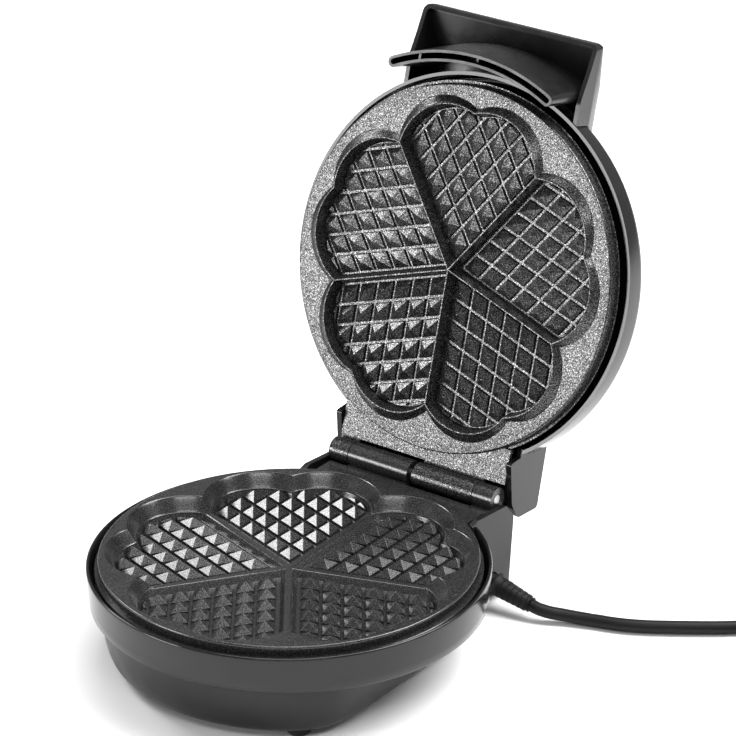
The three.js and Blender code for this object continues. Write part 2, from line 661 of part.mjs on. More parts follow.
// ---------------------------------------------------------------- lid
// Outside of the round dome, grown by an amount, as a plug from the lower face up.
function domePlug(grow) {
  return turned([
    [0, 0], [SHELL_R + grow, 0], [SHELL_R + grow, LID_SIDE], [SHELL_R - 1 + grow, LID_SIDE + 3.4],
    [SHELL_R - 4.1 + grow, LID_SIDE + 6.2 + grow], [SHELL_R - 10.6, 27.6 + grow],
    [SHELL_R - 34.6, 29.5 + grow],
    [0, LID_CROWN + grow],
  ]);
}

function lidShellBody() {
  const outer = domePlug(0);
  const inner = domePlug(-SHELL_WALL);
  const below = rodZ(SHELL_R + 5, -1, LID_RIM, 0, 0, ROUND);
  const rear = box(-BLOCK_HALF - GAP, BLOCK_HALF + GAP, LID_BLOCK_FRONT - GAP, HINGE_Y + 20, 0, 50);
  return cut(outer, inner, below, rear, ...lidTopHoles());
}

// Holes for the knob's shaft and the lamps, through the lid's two skins.
function lidTopHoles() {
  return [
    rodZ(SHAFT_R + RUN, 20, 50, 0, KNOB_Y), rodZ(LAMP_R + GAP, 20, 50, -LAMP_X, KNOB_Y),
    rodZ(LAMP_R + GAP, 20, 50, LAMP_X, KNOB_Y),
  ];
}

// Cross section of the handle and band, as x and z, with leaning top corners.
function bandSection(half, top, shoulder, low) {
  return [
    [-half, low], [half, low], [half, shoulder], [half - 4, top], [4 - half, top], [-half, shoulder],
  ];
}

const BAND_BREAK = -SHELL_R + 22.6; // where the handle meets the band
const BAND_REAR = LID_BLOCK_FRONT - 2 * GAP;

function topCoverBody() {
  const outer = alongY(bandSection(BAND_HALF, BAND_TOP, 22, 12), BAND_BREAK + GAP, BAND_REAR);
  const inner = alongY(
    bandSection(BAND_HALF - BAND_WALL, BAND_TOP - BAND_WALL, 21, 10), BAND_BREAK - 1, BAND_REAR + 1,
  );
  return cut(outer, inner, domePlug(GAP), ...lidTopHoles());
}

// Side view of the handle, as y and z: a thin front lip, a roof that climbs to the band, and
// side walls that get deeper towards the lid.
function handleSide(inset, top) {
  return [
    [-HANDLE_FRONT + inset, HANDLE_LIP], [-HANDLE_FRONT + inset, HANDLE_LIP + 4.8 - inset / 2],
    [-HANDLE_FRONT + 1.5 + inset, HANDLE_LIP + 6.3 - inset],
    [-SHELL_R - 1.4, top - 0.4], [-SHELL_R + 4.6, top], [BAND_BREAK, top],
    [BAND_BREAK, LID_RIM + 0.5], [-SHELL_R + 2.6, LID_RIM + 0.5],
    [-SHELL_R - 11.4, HANDLE_LIP - 3.8],
  ];
}

function handlePlan(half, front, corner) {
  const plan = new THREE.Shape();
  plan.moveTo(half, 0);
  plan.lineTo(-half, 0);
  plan.lineTo(-half, -front + corner);
  plan.absarc(-half + corner, -front + corner, corner, Math.PI, 1.5 * Math.PI, false);
  plan.lineTo(half - corner, -front);
  plan.absarc(half - corner, -front + corner, corner, 1.5 * Math.PI, 2 * Math.PI, false);
  plan.lineTo(half, 0);
  return plan;
}

// The space under the handle's roof, left smaller all round by an amount.
function handleHollow(less) {
  const top = BAND_TOP - BAND_WALL - less;
  const inset = BAND_WALL + less;
  const side = handleSide(inset, top);
  const open = [
    [side[0][0], -30], side[1], side[2], side[3], side[4], [BAND_BREAK + 1, top],
    [BAND_BREAK + 1, -30],
  ];
  const half = BAND_HALF - BAND_WALL - less;
  return alongX(open, -BAND_HALF, BAND_HALF)
    .intersect(alongY(bandSection(half, top, 21, -31), -HANDLE_FRONT - 1, 0))
    .intersect(alongZ(handlePlan(half, HANDLE_FRONT - inset, 2), -31, 40));
}

function handleBody() {
  const outer = alongX(handleSide(0, BAND_TOP), -BAND_HALF, BAND_HALF)
    .intersect(alongY(bandSection(BAND_HALF, BAND_TOP, 22, -31), -HANDLE_FRONT - 1, 0))
    .intersect(alongZ(handlePlan(BAND_HALF, HANDLE_FRONT, 4.2), -31, 40));
  return cut(outer, handleHollow(0), domePlug(GAP));
}

// Plan of the heat guard: part of a ring around the lid, with round ends.
function guardRing(inR, outR, half, z) {
  const middle = (inR + outR) / 2;
  const tipR = (outR - inR) / 2;
  const reach = Math.asin((half - tipR) / middle);
  const steps = 10;
  const arc = (radius, from, to) => Array.from({ length: steps + 1 }, (_, i) => {
    const turn = from + ((to - from) * i) / steps;
    return [radius * Math.sin(turn), -radius * Math.cos(turn), z];
  });
  const tip = (turn, sign) => [1, 2, 3].map((i) => {
    const bend = (Math.PI * i) / 4;
    const along = sign * tipR * Math.sin(bend);
    const radius = middle + sign * tipR * Math.cos(bend);
    return [
      radius * Math.sin(turn) + along * Math.cos(turn),
      -radius * Math.cos(turn) + along * Math.sin(turn), z,
    ];
  });
  return [...arc(outR, -reach, reach), ...tip(reach, 1), ...arc(inR, reach, -reach), ...tip(-reach, -1)];
}

function heatGuardBody() {
  const flare = 3.4;
  const high = 32;
  const outer = loft([
    guardRing(GUARD_IN, GUARD_IN + GUARD_T, GUARD_HALF, -GUARD_DROP),
    guardRing(GUARD_IN, GUARD_IN + GUARD_T + flare, GUARD_HALF, high),
  ]);
  const wall = 1.5;
  const channel = loft([
    guardRing(GUARD_IN + wall, GUARD_IN + GUARD_T - wall, GUARD_HALF - wall, -GUARD_DROP - 1),
    guardRing(GUARD_IN + wall, GUARD_IN + GUARD_T - wall, GUARD_HALF - wall, 19),
  ]);
  const webs = [-35, 0, 35].map((x) => (
    box(x - 0.8, x + 0.8, -GUARD_IN - GUARD_T, -80, -GUARD_DROP + 5, 20).intersect(channel)
  ));
  return join(outer.intersect(handleHollow(GAP)).subtract(channel), ...webs);
}

// Side view of the lid's rear block, as y from the hinge and z.
const LID_REAR_SIDE = [
  [LID_BLOCK_FRONT - HINGE_Y, 10], [-22.9, 10], [-19.8, 1], [2.7, 9], [10.7, 17], [7.1, 34.2],
  [6.1, 35], [LID_BLOCK_FRONT - HINGE_Y, 34],
];
const LID_REAR_HOLLOW = [
  [-40.3, -5], [-7.3, -5], [-7.3, 10.5], [1.7, 11.6], [7.6, 17.6], [4.3, 32], [-40.3, 31.2],
];

function rearBlockBody() {
  const inner = BLOCK_HALF - BLOCK_WALL;
  const outer = alongX(fromHinge(LID_REAR_SIDE), -BLOCK_HALF, BLOCK_HALF);
  const hollow = alongX(fromHinge(LID_REAR_HOLLOW), -inner, inner);
  const under = box(-inner, inner, HINGE_Y - 40.3, HINGE_Y + KNUCKLE_R + 0.6, -6, 9.2);
  const bores = blockScrewPlaces().map(([x, y]) => (
    rodZ(1.9, 30, 40, x, y, 12).add(rodZ(3.6, 33.4, 40, x, y))
  ));
  return cut(outer, hollow, under, ...bores);
}

function blockScrewPlaces() {
  return [[-40, HINGE_Y - 6.3], [40, HINGE_Y - 6.3]];
}

function screwDown(x, y, z, length) {
  return screwUp(x, y, 0, length).rotate([180, 0, 0]).translate([0, 2 * y, z]);
}

// Posts that the rear block's screws bite into, standing on a bracket across the block.
function rearBracketBody() {
  const bar1 = box(-48, 48, HINGE_Y - 11.3, HINGE_Y - 1.3, 20, 22);
  const posts = blockScrewPlaces().map(([x, y]) => rodZ(4, 21, 31 - GAP, x, y, 16));
  const bores = blockScrewPlaces().map(([x, y]) => rodZ(1.8, 23, 40, x, y, 12));
  return cut(join(bar1, ...posts), ...bores);
}

const SHAFT_R = 3;
const LAMP_R = 3;
const KNOB_LOW = BAND_TOP + 0.5;
const KNOB_R = 17;
const KNOB_HEIGHT = 12;
const SHAFT_TOP = KNOB_LOW + 8;

function knobBody() {
  const body = turned([
    [0, 0], [KNOB_R, 0], [KNOB_R, 2.6], [KNOB_R - 2.6, 4], [KNOB_R - 3.4, KNOB_HEIGHT - 3],
    [KNOB_R - 4.6, KNOB_HEIGHT - 2.4], [0, KNOB_HEIGHT - 2.4],
  ], 28);
  const grip = box(-3, 3, -KNOB_R + 2.6, KNOB_R - 2.6, 3, KNOB_HEIGHT);
  const socket = rodZ(SHAFT_R + GAP, -1, SHAFT_TOP - KNOB_LOW + GAP, 0, 0);
  return join(body, grip).subtract(socket).translate([0, KNOB_Y, KNOB_LOW]);
}

const THERMOSTAT_TOP = 26;

function thermostatBody() {
  const can = rodZ(11, 16.4, 21, 0, KNOB_Y, 24);
  const frame = box(-14, 14, KNOB_Y - 8, KNOB_Y + 8, 21, THERMOSTAT_TOP - 2);
  const collar = rodZ(5, 23, THERMOSTAT_TOP, 0, KNOB_Y);
  const tabs = box(-20, 20, KNOB_Y - 3, KNOB_Y + 3, 21.6, 22.6);
  return join(can, frame, collar, tabs);
}

function lampLensBody(x) {
  const lens = turned([
    [0, 26], [LAMP_R, 26], [LAMP_R, BAND_TOP + GAP], [LAMP_R + 1.6, BAND_TOP + GAP],
    [LAMP_R + 1.4, BAND_TOP + 1], [LAMP_R + 0.4, BAND_TOP + 2], [0, BAND_TOP + 2.6],
  ], 16);
  return lens.translate([x, KNOB_Y, 0]);
}

function lidLeadBody() {
  return bar([
    [12, HINGE_Y - 12.3, 23.4], [14, 88, 23.2], [20, 70, 22.8], [25, 40, 22.5], [26, 0, 22.4],
    [25, -30, 22.4], [22, -44, 22.4], [16, -51.6, 22.4],
  ], 4.6, 18, 6);
}

function makeLid() {
  const lid = new THREE.Group();
  const lamps = [['power', -LAMP_X, MATERIALS.red], ['ready', LAMP_X, MATERIALS.green]];
  lid.add(piece('upper_plate', turnedOver(platePiece(UPPER)), MATERIALS.upperPlate));
  lid.add(piece('upper_heating_element', turnedOver(elementBody(UPPER)), MATERIALS.element));
  const dish = dishBody(UPPER, plateBack(UPPER) - 2, 90);
  lid.add(piece('upper_reflector', turnedOver(dish), MATERIALS.foil));
  lid.add(piece('lid_shell', lidShellBody(), MATERIALS.shell));
  lid.add(piece('lid_top_cover', topCoverBody(), MATERIALS.shell));
  lid.add(piece('lid_rear_block', rearBlockBody(), MATERIALS.shell));
  lid.add(piece('lid_rear_bracket', rearBracketBody(), MATERIALS.steel));
  lid.add(piece('handle', handleBody(), MATERIALS.grip));
  lid.add(piece('heat_guard', heatGuardBody(), MATERIALS.grip));
  lid.add(piece('thermostat', thermostatBody(), MATERIALS.steel));
  const shaft = rodZ(SHAFT_R, THERMOSTAT_TOP + GAP, SHAFT_TOP, 0, KNOB_Y, 16);
  lid.add(piece('thermostat_shaft', shaft, MATERIALS.steel));
  lid.add(piece('thermostat_knob', knobBody(), MATERIALS.grip));
  for (const [name, x, color] of lamps) {
    lid.add(piece(`${name}_lamp_lens`, lampLensBody(x), color));
    lid.add(piece(`${name}_lamp`, rodZ(2.4, 17, 26 - GAP, x, KNOB_Y, 12), MATERIALS.ceramic));
  }
  lid.add(piece('lid_lead', lidLeadBody(), MATERIALS.cord));
  blockScrewPlaces().forEach(([x, y], i) => {
    const body = screwDown(x, y, 33.4 + GAP, 9);
    lid.add(piece(`block_screw_${i + 1}`, body, MATERIALS.steel));
  });
  plateScrewPlaces().forEach(([x, y], i) => {
    const head = dishTop(UPPER) - DISH_T - GAP;
    const body = screwUp(x, y, head, plateBack(UPPER) + 3.5 - head, 3, 1.4);
    lid.add(piece(`upper_plate_screw_${i + 1}`, turnedOver(body), MATERIALS.steel));
  });
  return lid;
}

// ---------------------------------------------------------------- mains cord on the table
function coilBody() {
  const { x, y, inR, outR, low, high } = COIL;
  const soft = 2.4; // the bundle's rounded edges
  const ring = turnedRing([
    [inR, low + soft], [inR + soft, low], [outR - soft, low], [outR, low + soft],
    [outR, high - soft], [outR - soft, high], [inR + soft, high], [inR, high - soft],
  ], 32);
  return ring.translate([x, y, 0]);
}

// Strap around the coil's bundle, at the side away from where the cord comes in.
function tieBody() {
  const { x, y, inR, outR, low, high } = COIL;
  const t = 0.6;
  const half = 5;
  const [near, far] = [y - outR - GAP, y - inR + 3 * GAP];
  const strap = box(x - half, x + half, near - t, far + t, low - GAP - t, high + GAP + t);
  return strap.subtract(box(x - half - 1, x + half + 1, near, far, low - GAP, high + GAP));
}

function plugBody() {
  const body = new THREE.LatheGeometry([
    [0, 0], [4.6, 0], [6, 3], [6.4, 14], [9.5, 17], [14, 24], [17.6, 27], [18.3, 29], [18.3, 44],
    [17.6, 45], [0, 45],
  ].map(([r, z]) => new THREE.Vector2(r, z)), 20);
  const holes = PIN_X.map((x) => rodZ(2.6, 36, 50, x, 0, 14));
  return cut(solid(body.rotateX(Math.PI / 2)), ...holes).rotate([90, 0, 0])
    .translate([PLUG.x, PLUG.y - GAP, PLUG.z]);
}

const PIN_X = [-9.5, 9.5];

function plugPinBody(x) {
  const pin = turned([[0, 36.4], [2.3, 36.4], [2.3, 62], [1.6, 64], [0, 64]], 14);
  return pin.translate([x, 0, 0]).rotate([90, 0, 0]).translate([PLUG.x, PLUG.y - GAP, PLUG.z]);
}

function makeCord() {
  const cord = new THREE.Group();
  cord.add(piece('cord', bar(CORD_ROUTE, CORD_D, 14, 10), MATERIALS.cord));
  cord.add(piece('cord_coil', coilBody(), MATERIALS.cord));
  cord.add(piece('cord_end', bar(CORD_END_ROUTE, CORD_D, 6, 10), MATERIALS.cord));
  cord.add(piece('cord_tie', tieBody(), MATERIALS.rubber));
  cord.add(piece('plug', plugBody(), MATERIALS.rubber));
  cord.add(piece('plug_pin_left', plugPinBody(PIN_X[0]), MATERIALS.steel));
  cord.add(piece('plug_pin_right', plugPinBody(PIN_X[1]), MATERIALS.steel));
  return cord;
}

// ---------------------------------------------------------------- assembly
function makeAppliance() {
  const hinge = new THREE.Group();
  const lid = makeLid();
  lid.position.set(0, -HINGE_Y, -HINGE_Z);
  hinge.add(lid);
  hinge.position.set(0, HINGE_Y, HINGE_Z);
  hinge.rotation.x = -radians(OPEN_ANGLE);

  const appliance = new THREE.Group();
  appliance.add(makeBase(), hinge);
  appliance.updateMatrixWorld(true);
  const bounds = new THREE.Box3().setFromObject(appliance, true);
  appliance.position.set(0, -(bounds.min.y + bounds.max.y) / 2, -bounds.min.z);
  return appliance;
}

const waffleMaker = new THREE.Group();
waffleMaker.name = 'waffle_maker';
waffleMaker.add(makeAppliance(), makeCord());

export default waffleMaker;
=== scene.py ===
"""Looks for the heart waffle maker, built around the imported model.

Design sizes are in millimetres in two local frames. Both have their origin at the middle of the
lower cooking face, +X along the hinge, -Y towards the handle and +Z up, with the lid closed.
BASE places a local point in the row frame, and LID does the same for the opened lid.
"""

import json
import math

import bmesh
import bpy
from mathutils import Matrix, Vector


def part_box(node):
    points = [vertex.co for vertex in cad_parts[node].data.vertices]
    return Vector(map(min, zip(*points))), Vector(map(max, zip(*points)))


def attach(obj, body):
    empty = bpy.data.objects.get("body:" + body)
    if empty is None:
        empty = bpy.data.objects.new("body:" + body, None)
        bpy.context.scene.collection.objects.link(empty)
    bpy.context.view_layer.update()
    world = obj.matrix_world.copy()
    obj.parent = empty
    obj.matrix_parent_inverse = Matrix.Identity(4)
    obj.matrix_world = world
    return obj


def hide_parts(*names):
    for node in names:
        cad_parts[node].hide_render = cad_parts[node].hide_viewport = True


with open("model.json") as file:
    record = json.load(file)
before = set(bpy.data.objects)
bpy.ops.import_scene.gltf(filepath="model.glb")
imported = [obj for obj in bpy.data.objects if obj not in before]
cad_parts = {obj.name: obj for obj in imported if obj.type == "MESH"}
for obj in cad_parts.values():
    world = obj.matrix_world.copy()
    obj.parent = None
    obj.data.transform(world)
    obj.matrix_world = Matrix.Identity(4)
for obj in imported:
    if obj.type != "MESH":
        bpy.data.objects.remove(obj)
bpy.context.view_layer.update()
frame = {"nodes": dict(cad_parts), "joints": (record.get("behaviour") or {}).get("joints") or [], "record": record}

MM = 0.001
TAU = 2 * math.pi
ROUND = 160  # sides of a large circle

# ------------------------------------------------------------------ sizes shared with the frame
KNUCKLE_R = 6.5
FLANGE_R = 98.4
HINGE_Y, HINGE_Z = 110.3, 0.3
plate_low, plate_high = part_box("lower_plate")
FACE_HEIGHT = plate_high.z / MM - KNUCKLE_R - HINGE_Z
ORIGIN = Vector((0, plate_low.y + FLANGE_R * MM, FACE_HEIGHT * MM))
lid_joint = next(j for j in frame["joints"] if j["child"] == "lid")
OPEN_ANGLE = math.radians(lid_joint["range_deg"][1])

BASE = Matrix.Translation(ORIGIN) @ Matrix.Scale(MM, 4)
PIVOT = Matrix.Translation((0, HINGE_Y, HINGE_Z))
LID = BASE @ PIVOT @ Matrix.Rotation(-OPEN_ANGLE, 4, "X") @ PIVOT.inverted()
# The upper plate's casting is drawn face up, like the lower one, and then turned over.
PLATE_GAP = 0.6
TURNED_OVER = Matrix.Translation((0, 0, PLATE_GAP)) @ Matrix.Rotation(math.pi, 4, "Y")

SHELL_R, SHELL_WALL = 102.6, 1.8
PLATE_R = 96.6
BLOCK_HALF, BLOCK_WALL = 56, 3.2
BAND_HALF, BAND_WALL, BAND_TOP, BAND_SHOULDER = 54, 2.4, 34, 22
BAND_INSIDE, BAND_UNDER = BAND_HALF - BAND_WALL, BAND_TOP - BAND_WALL
PAN_BOTTOM, SHELL_FOOT = 51, 23.3
KNOB_Y, LAMP_X = -62, 26
HANDLE_FRONT = 130
GAP = 0.3
SMOOTH = 32  # degrees: a sharper angle than this is an edge


# ------------------------------------------------------------------ camera
def add_camera():
    """A long lens from the front right, a little above."""
    azimuth, elevation = math.radians(35.92), math.radians(25.15)
    aside, above, away = 39.78, 93.55, 1973.7
    right = Vector((math.cos(azimuth), math.sin(azimuth), 0))
    back = Vector((
        math.sin(azimuth) * math.cos(elevation),
        -math.cos(azimuth) * math.cos(elevation),
        math.sin(elevation),
    ))
    up = back.cross(right)
    place = ORIGIN + (aside * right + above * up + away * back) * MM
    camera = bpy.data.objects.new("camera", bpy.data.cameras.new("camera"))
    bpy.context.scene.collection.objects.link(camera)
    turn = Matrix((right, up, back)).transposed().to_4x4()
    camera.matrix_world = Matrix.Translation(place) @ turn
    camera.data.sensor_width = 36
    camera.data.lens = 191.44
    camera.data.clip_end = 20
    bpy.context.scene.camera = camera


# ------------------------------------------------------------------ materials
def new_material(name):
    material = bpy.data.materials.new(name)
    material.use_nodes = True
    nodes = material.node_tree.nodes
    return material, nodes, material.node_tree.links, nodes["Principled BSDF"]


def object_coordinates(nodes, links, scale):
    """Texture coordinates in metres times scale, fixed to the object."""
    source = nodes.new("ShaderNodeTexCoord")
    mapping = nodes.new("ShaderNodeMapping")
    mapping.inputs["Scale"].default_value = (scale, scale, scale)
    links.new(source.outputs["Object"], mapping.inputs["Vector"])
    return mapping.outputs["Vector"]


def noise(nodes, links, vector, scale, detail=2.0, roughness=0.5):
    node = nodes.new("ShaderNodeTexNoise")
    node.inputs["Scale"].default_value = scale
    node.inputs["Detail"].default_value = detail
    node.inputs["Roughness"].default_value = roughness
    links.new(vector, node.inputs["Vector"])
    return node.outputs["Fac"]


def ramp(nodes, links, value, stops):
    node = nodes.new("ShaderNodeValToRGB")
    elements = node.color_ramp.elements
    while len(elements) < len(stops):
        elements.new(0.5)
    for element, (position, shade) in zip(elements, stops):
        element.position = position
        color = shade if isinstance(shade, tuple) else (shade, shade, shade)
        element.color = (*color, 1)
    links.new(value, node.inputs["Fac"])
    return node.outputs["Color"]


def bump(nodes, links, shader, height, distance, strength=1.0):
    node = nodes.new("ShaderNodeBump")
    node.inputs["Distance"].default_value = distance
    node.inputs["Strength"].default_value = strength
    links.new(height, node.inputs["Height"])
    links.new(node.outputs["Normal"], shader.inputs["Normal"])


def plastic(name, low, high, rough, grain_mm, bump_mm, shine=0.5):
    """Moulded plastic: faint cloudy colour, slightly uneven gloss and a fine skin."""
    material, nodes, links, shader = new_material(name)
    vector = object_coordinates(nodes, links, 1000)
    cloud = noise(nodes, links, vector, 0.05, 3)
    links.new(ramp(nodes, links, cloud, [(0.3, low), (0.7, high)]), shader.inputs["Base Color"])
    patches = noise(nodes, links, vector, 0.12, 4)
    gloss = ramp(nodes, links, patches, [(0.3, rough * 0.85), (0.7, rough * 1.15)])
    links.new(gloss, shader.inputs["Roughness"])
    skin = noise(nodes, links, vector, 1 / grain_mm, 2)
    bump(nodes, links, shader, skin, bump_mm * MM)
    shader.inputs["Specular IOR Level"].default_value = shine
    return material


def non_stick(name, dark, mid, light, metallic, rough, speckle_mm, shine):
    """Speckled non-stick coating on a casting: light and dark specks over a cloudy grey."""
    material, nodes, links, shader = new_material(name)
    vector = object_coordinates(nodes, links, 1000)
    specks = noise(nodes, links, vector, 1 / speckle_mm, 3, 0.65)
    links.new(
        ramp(nodes, links, specks, [(0.34, dark), (0.5, mid), (0.66, light)]),
        shader.inputs["Base Color"],
    )
    patches = noise(nodes, links, vector, 0.7 / speckle_mm, 2)
    gloss = ramp(nodes, links, patches, [(0.35, rough * 0.75), (0.65, rough * 1.25)])
    links.new(gloss, shader.inputs["Roughness"])
    shader.inputs["Metallic"].default_value = metallic
    shader.inputs["Specular IOR Level"].default_value = shine
    bump(nodes, links, shader, specks, 0.02 * MM, 0.7)
    return material


def metal(name, tone, rough, streak_mm):
    """Bare metal with drawn streaks."""
    material, nodes, links, shader = new_material(name)
    vector = object_coordinates(nodes, links, 1000)
    streaks = noise(nodes, links, vector, 1 / streak_mm, 5, 0.7)
    shade = ramp(nodes, links, streaks, [(0.3, tone * 0.8), (0.7, tone * 1.1)])
    links.new(shade, shader.inputs["Base Color"])
    gloss = ramp(nodes, links, streaks, [(0.3, rough * 0.8), (0.7, rough * 1.2)])
    links.new(gloss, shader.inputs["Roughness"])
    shader.inputs["Metallic"].default_value = 1
    bump(nodes, links, shader, streaks, 0.01 * MM)
    return material


def lens(name, low, high):
    """Tinted clear plastic."""
    material, nodes, links, shader = new_material(name)
    vector = object_coordinates(nodes, links, 1000)
    ribs = noise(nodes, links, vector, 0.4, 2)
    links.new(ramp(nodes, links, ribs, [(0.3, low), (0.7, high)]), shader.inputs["Base Color"])
    shader.inputs["Roughness"].default_value = 0.12
    shader.inputs["Transmission Weight"].default_value = 0.35
    return material


MATERIALS = {
    "shell": plastic("shell", 0.007, 0.010, 0.13, 1.4, 0.004, 0.36),
    "housing": plastic("housing", 0.005, 0.008, 0.34, 0.8, 0.008, 0.32),
    "grip": plastic("grip", 0.004, 0.006, 0.3, 0.35, 0.012, 0.5),
    "lower_plate": non_stick("lower_plate", 0.004, 0.014, 0.12, 0.45, 0.22, 0.42, 0.9),
    "upper_plate": non_stick("upper_plate", 0.006, 0.036, 0.23, 0.8, 0.3, 0.6, 0.3),
    "steel": metal("steel", 0.55, 0.3, 0.6),
    "foil": metal("foil", 0.62, 0.35, 2.5),
    "element": metal("element", 0.16, 0.5, 1.0),
    "ceramic": plastic("ceramic", 0.66, 0.74, 0.6, 0.6, 0.02),
    "rubber": plastic("rubber", 0.004, 0.006, 0.6, 0.3, 0.02, 0.3),
    "cord": plastic("cord", 0.002, 0.003, 0.5, 0.5, 0.01, 0.22),
    "red_lens": lens("red_lens", (0.30, 0.01, 0.008), (0.45, 0.02, 0.015)),
    "green_lens": lens("green_lens", (0.02, 0.25, 0.05), (0.03, 0.38, 0.08)),
}


def paint_cad_nodes():
    """Each CAD node takes the material of its slot in the record, shaded smooth on its curves."""
    for row in frame["record"]["subparts"]:
        node = frame["nodes"][row["node"]]
        node.data.materials.clear()
        node.data.materials.append(MATERIALS[row["material_slot"]])
        node.data.shade_smooth()
        node.data.set_sharp_from_angle(angle=math.radians(SMOOTH))


# ------------------------------------------------------------------ mesh helpers
def make_object(name, points, faces, place=None):
    """A mesh object from local millimetres. With no place it stays in local units, as a tool."""
    mesh = bpy.data.meshes.new(name)
    mesh.from_pydata([tuple(p) for p in points], [], faces)
    body = bmesh.new()
    body.from_mesh(mesh)
    bmesh.ops.remove_doubles(body, verts=body.verts, dist=1e-4)
    bmesh.ops.recalc_face_normals(body, faces=body.faces)
    body.to_mesh(mesh)
    body.free()
    obj = bpy.data.objects.new(name, mesh)
    bpy.context.scene.collection.objects.link(obj)
    if place is not None:
        mesh.transform(place)
    return obj


def evaluate(obj):
    """Turn an object's modifiers into its mesh."""
    bpy.context.view_layer.update()
    graph = bpy.context.evaluated_depsgraph_get()
    mesh = bpy.data.meshes.new_from_object(obj.evaluated_get(graph))
    obj.modifiers.clear()
    obj.data = mesh


def combine(obj, tools, operation):
    for tool in tools:
        modifier = obj.modifiers.new("boolean", "BOOLEAN")
        modifier.operation = operation
        modifier.solver = "EXACT"
        modifier.object = tool
        evaluate(obj)
        bpy.data.objects.remove(tool)
    return obj


def cut(obj, *tools):
    return combine(obj, tools, "DIFFERENCE")


def join(obj, *tools):
    return combine(obj, tools, "UNION")


def keep_common(obj, *tools):
    return combine(obj, tools, "INTERSECT")


def finish_piece(obj, name, place, body, material, replaces=(), bevel=0.0, segments=2,
                 smooth=SMOOTH):
    """Scale a tool into the row frame and make it one of the model's pieces."""
    obj.name = name
    if place is not None:
        obj.data.transform(place)
    obj.data.materials.clear()
    obj.data.materials.append(MATERIALS[material])
    obj.data.shade_smooth()
    obj.data.set_sharp_from_angle(angle=math.radians(smooth))
    if bevel:
        modifier = obj.modifiers.new("bevel", "BEVEL")
        modifier.width = bevel * MM
        modifier.segments = segments
        modifier.limit_method = "ANGLE"
        modifier.angle_limit = math.radians(smooth)
        modifier.harden_normals = True
    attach(obj, body)
    if replaces:
        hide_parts(*replaces)
    return obj


def rings_mesh(rings, caps=True, closed=False):
    """Points and faces of a tube through rings with equal counts."""
    count = len(rings[0])
    points = [p for ring in rings for p in ring]
    faces = []
    levels = len(rings) if closed else len(rings) - 1
    for level in range(levels):
        low, high = level * count, ((level + 1) % len(rings)) * count
        for i in range(count):
            j = (i + 1) % count
            faces.append((low + i, low + j, high + j, high + i))
    if caps and not closed:
        faces.append(tuple(reversed(range(count))))
        faces.append(tuple(range((len(rings) - 1) * count, len(rings) * count)))
    return points, faces


def loft(rings):
    return make_object("tool", *rings_mesh(rings))


def lathe(profile, sides=ROUND, closed=False):
    """Turned shape about Z. Its profile starts and ends on the axis, or closes on itself."""
    rings = []
    for r, z in profile:
        radius = max(r, 1e-5)
        rings.append([
            (radius * math.sin(TAU * i / sides), -radius * math.cos(TAU * i / sides), z)
            for i in range(sides)
        ])
    points, faces = rings_mesh(rings, caps=False, closed=closed)
    return make_object("tool", points, faces)


def prism(outline, low, high, axis):
    """An outline drawn out along an axis: (y, z) along X, (x, z) along Y, or (x, y) along Z."""
    place = {
        "X": lambda u, v, w: (w, u, v),
        "Y": lambda u, v, w: (u, w, v),
        "Z": lambda u, v, w: (u, v, w),
    }[axis]
    return loft([[place(u, v, w) for u, v in outline] for w in (low, high)])


def block(x0, x1, y0, y1, z0, z1):
    return prism([(x0, y0), (x1, y0), (x1, y1), (x0, y1)], z0, z1, "Z")


def rod(radius, low, high, axis, u, v, sides=48):
    outline = [
        (u + radius * math.cos(TAU * i / sides), v + radius * math.sin(TAU * i / sides))
        for i in range(sides)
    ]
    return prism(outline, low, high, axis)


def rounded(outline, radii, steps=6):
    """The outline with its corners rounded. A radius of 0 leaves a corner sharp."""
    result = []
    count = len(outline)
    for i, corner in enumerate(outline):
        radius = radii[i] if isinstance(radii, (list, tuple)) else radii
        here = Vector(corner)
        before = (Vector(outline[i - 1]) - here).normalized()
        after = (Vector(outline[(i + 1) % count]) - here).normalized()
        half = before.angle(after) / 2
        if radius <= 0 or half > math.radians(88):
            result.append(tuple(here))
            continue
        start, end = here + before * radius / math.tan(half), here + after * radius / math.tan(half)
        centre = here + (before + after).normalized() * radius / math.sin(half)
        a, b = start - centre, end - centre
        turn = a.angle_signed(b)
        for k in range(steps + 1):
            result.append(tuple(centre + Matrix.Rotation(-turn * k / steps, 2) @ a))
    return result


# ------------------------------------------------------------------ cooking plates
HEART_HALF = math.pi / 5
PITCH, VALLEY = 11.25, 1.3
LOBE_STEPS = 28
LEDGE = 0.6  # step between the wall above the ribs and the hearts below it
HEART_TURNS = [-math.pi / 2 + 2 * HEART_HALF * i for i in range(5)]
LOWER = {
    "lobe": (61.0, 15.5, 30.8), "floor": (61.0, 15.5, 24.2), "depth": 11.0, "rib": 7.3,
    "rib_top": 1.9, "rib_foot": 4.2, "edge": 5.5, "stud": 5.0, "deck": 50.0, "rise": 0.0,
}
UPPER = {
    "lobe": (54.2, 11.9, 30.4), "floor": (53.2, 11.2, 29.4), "depth": 4.4, "rib": 0.0,
    "rib_top": 0.4, "rib_foot": 2.3, "edge": 2.65, "stud": 4.1, "deck": 52.4,
    "rise": 3.0, "foot": (59.0, 15.0, 29.8), "lip": 0.9,
}
KNUCKLES = [(-39.5, -1.5), (40.0, 52.0)]


def lobe_at(heart, share, grow=0.0):
    """Middle and radius of a lobe part of the way from the face to the floor."""
    pairs = zip(heart["lobe"], heart["floor"])
    x, y, radius = (top + (floor - top) * share for top, floor in pairs)
    return x, y, radius + grow


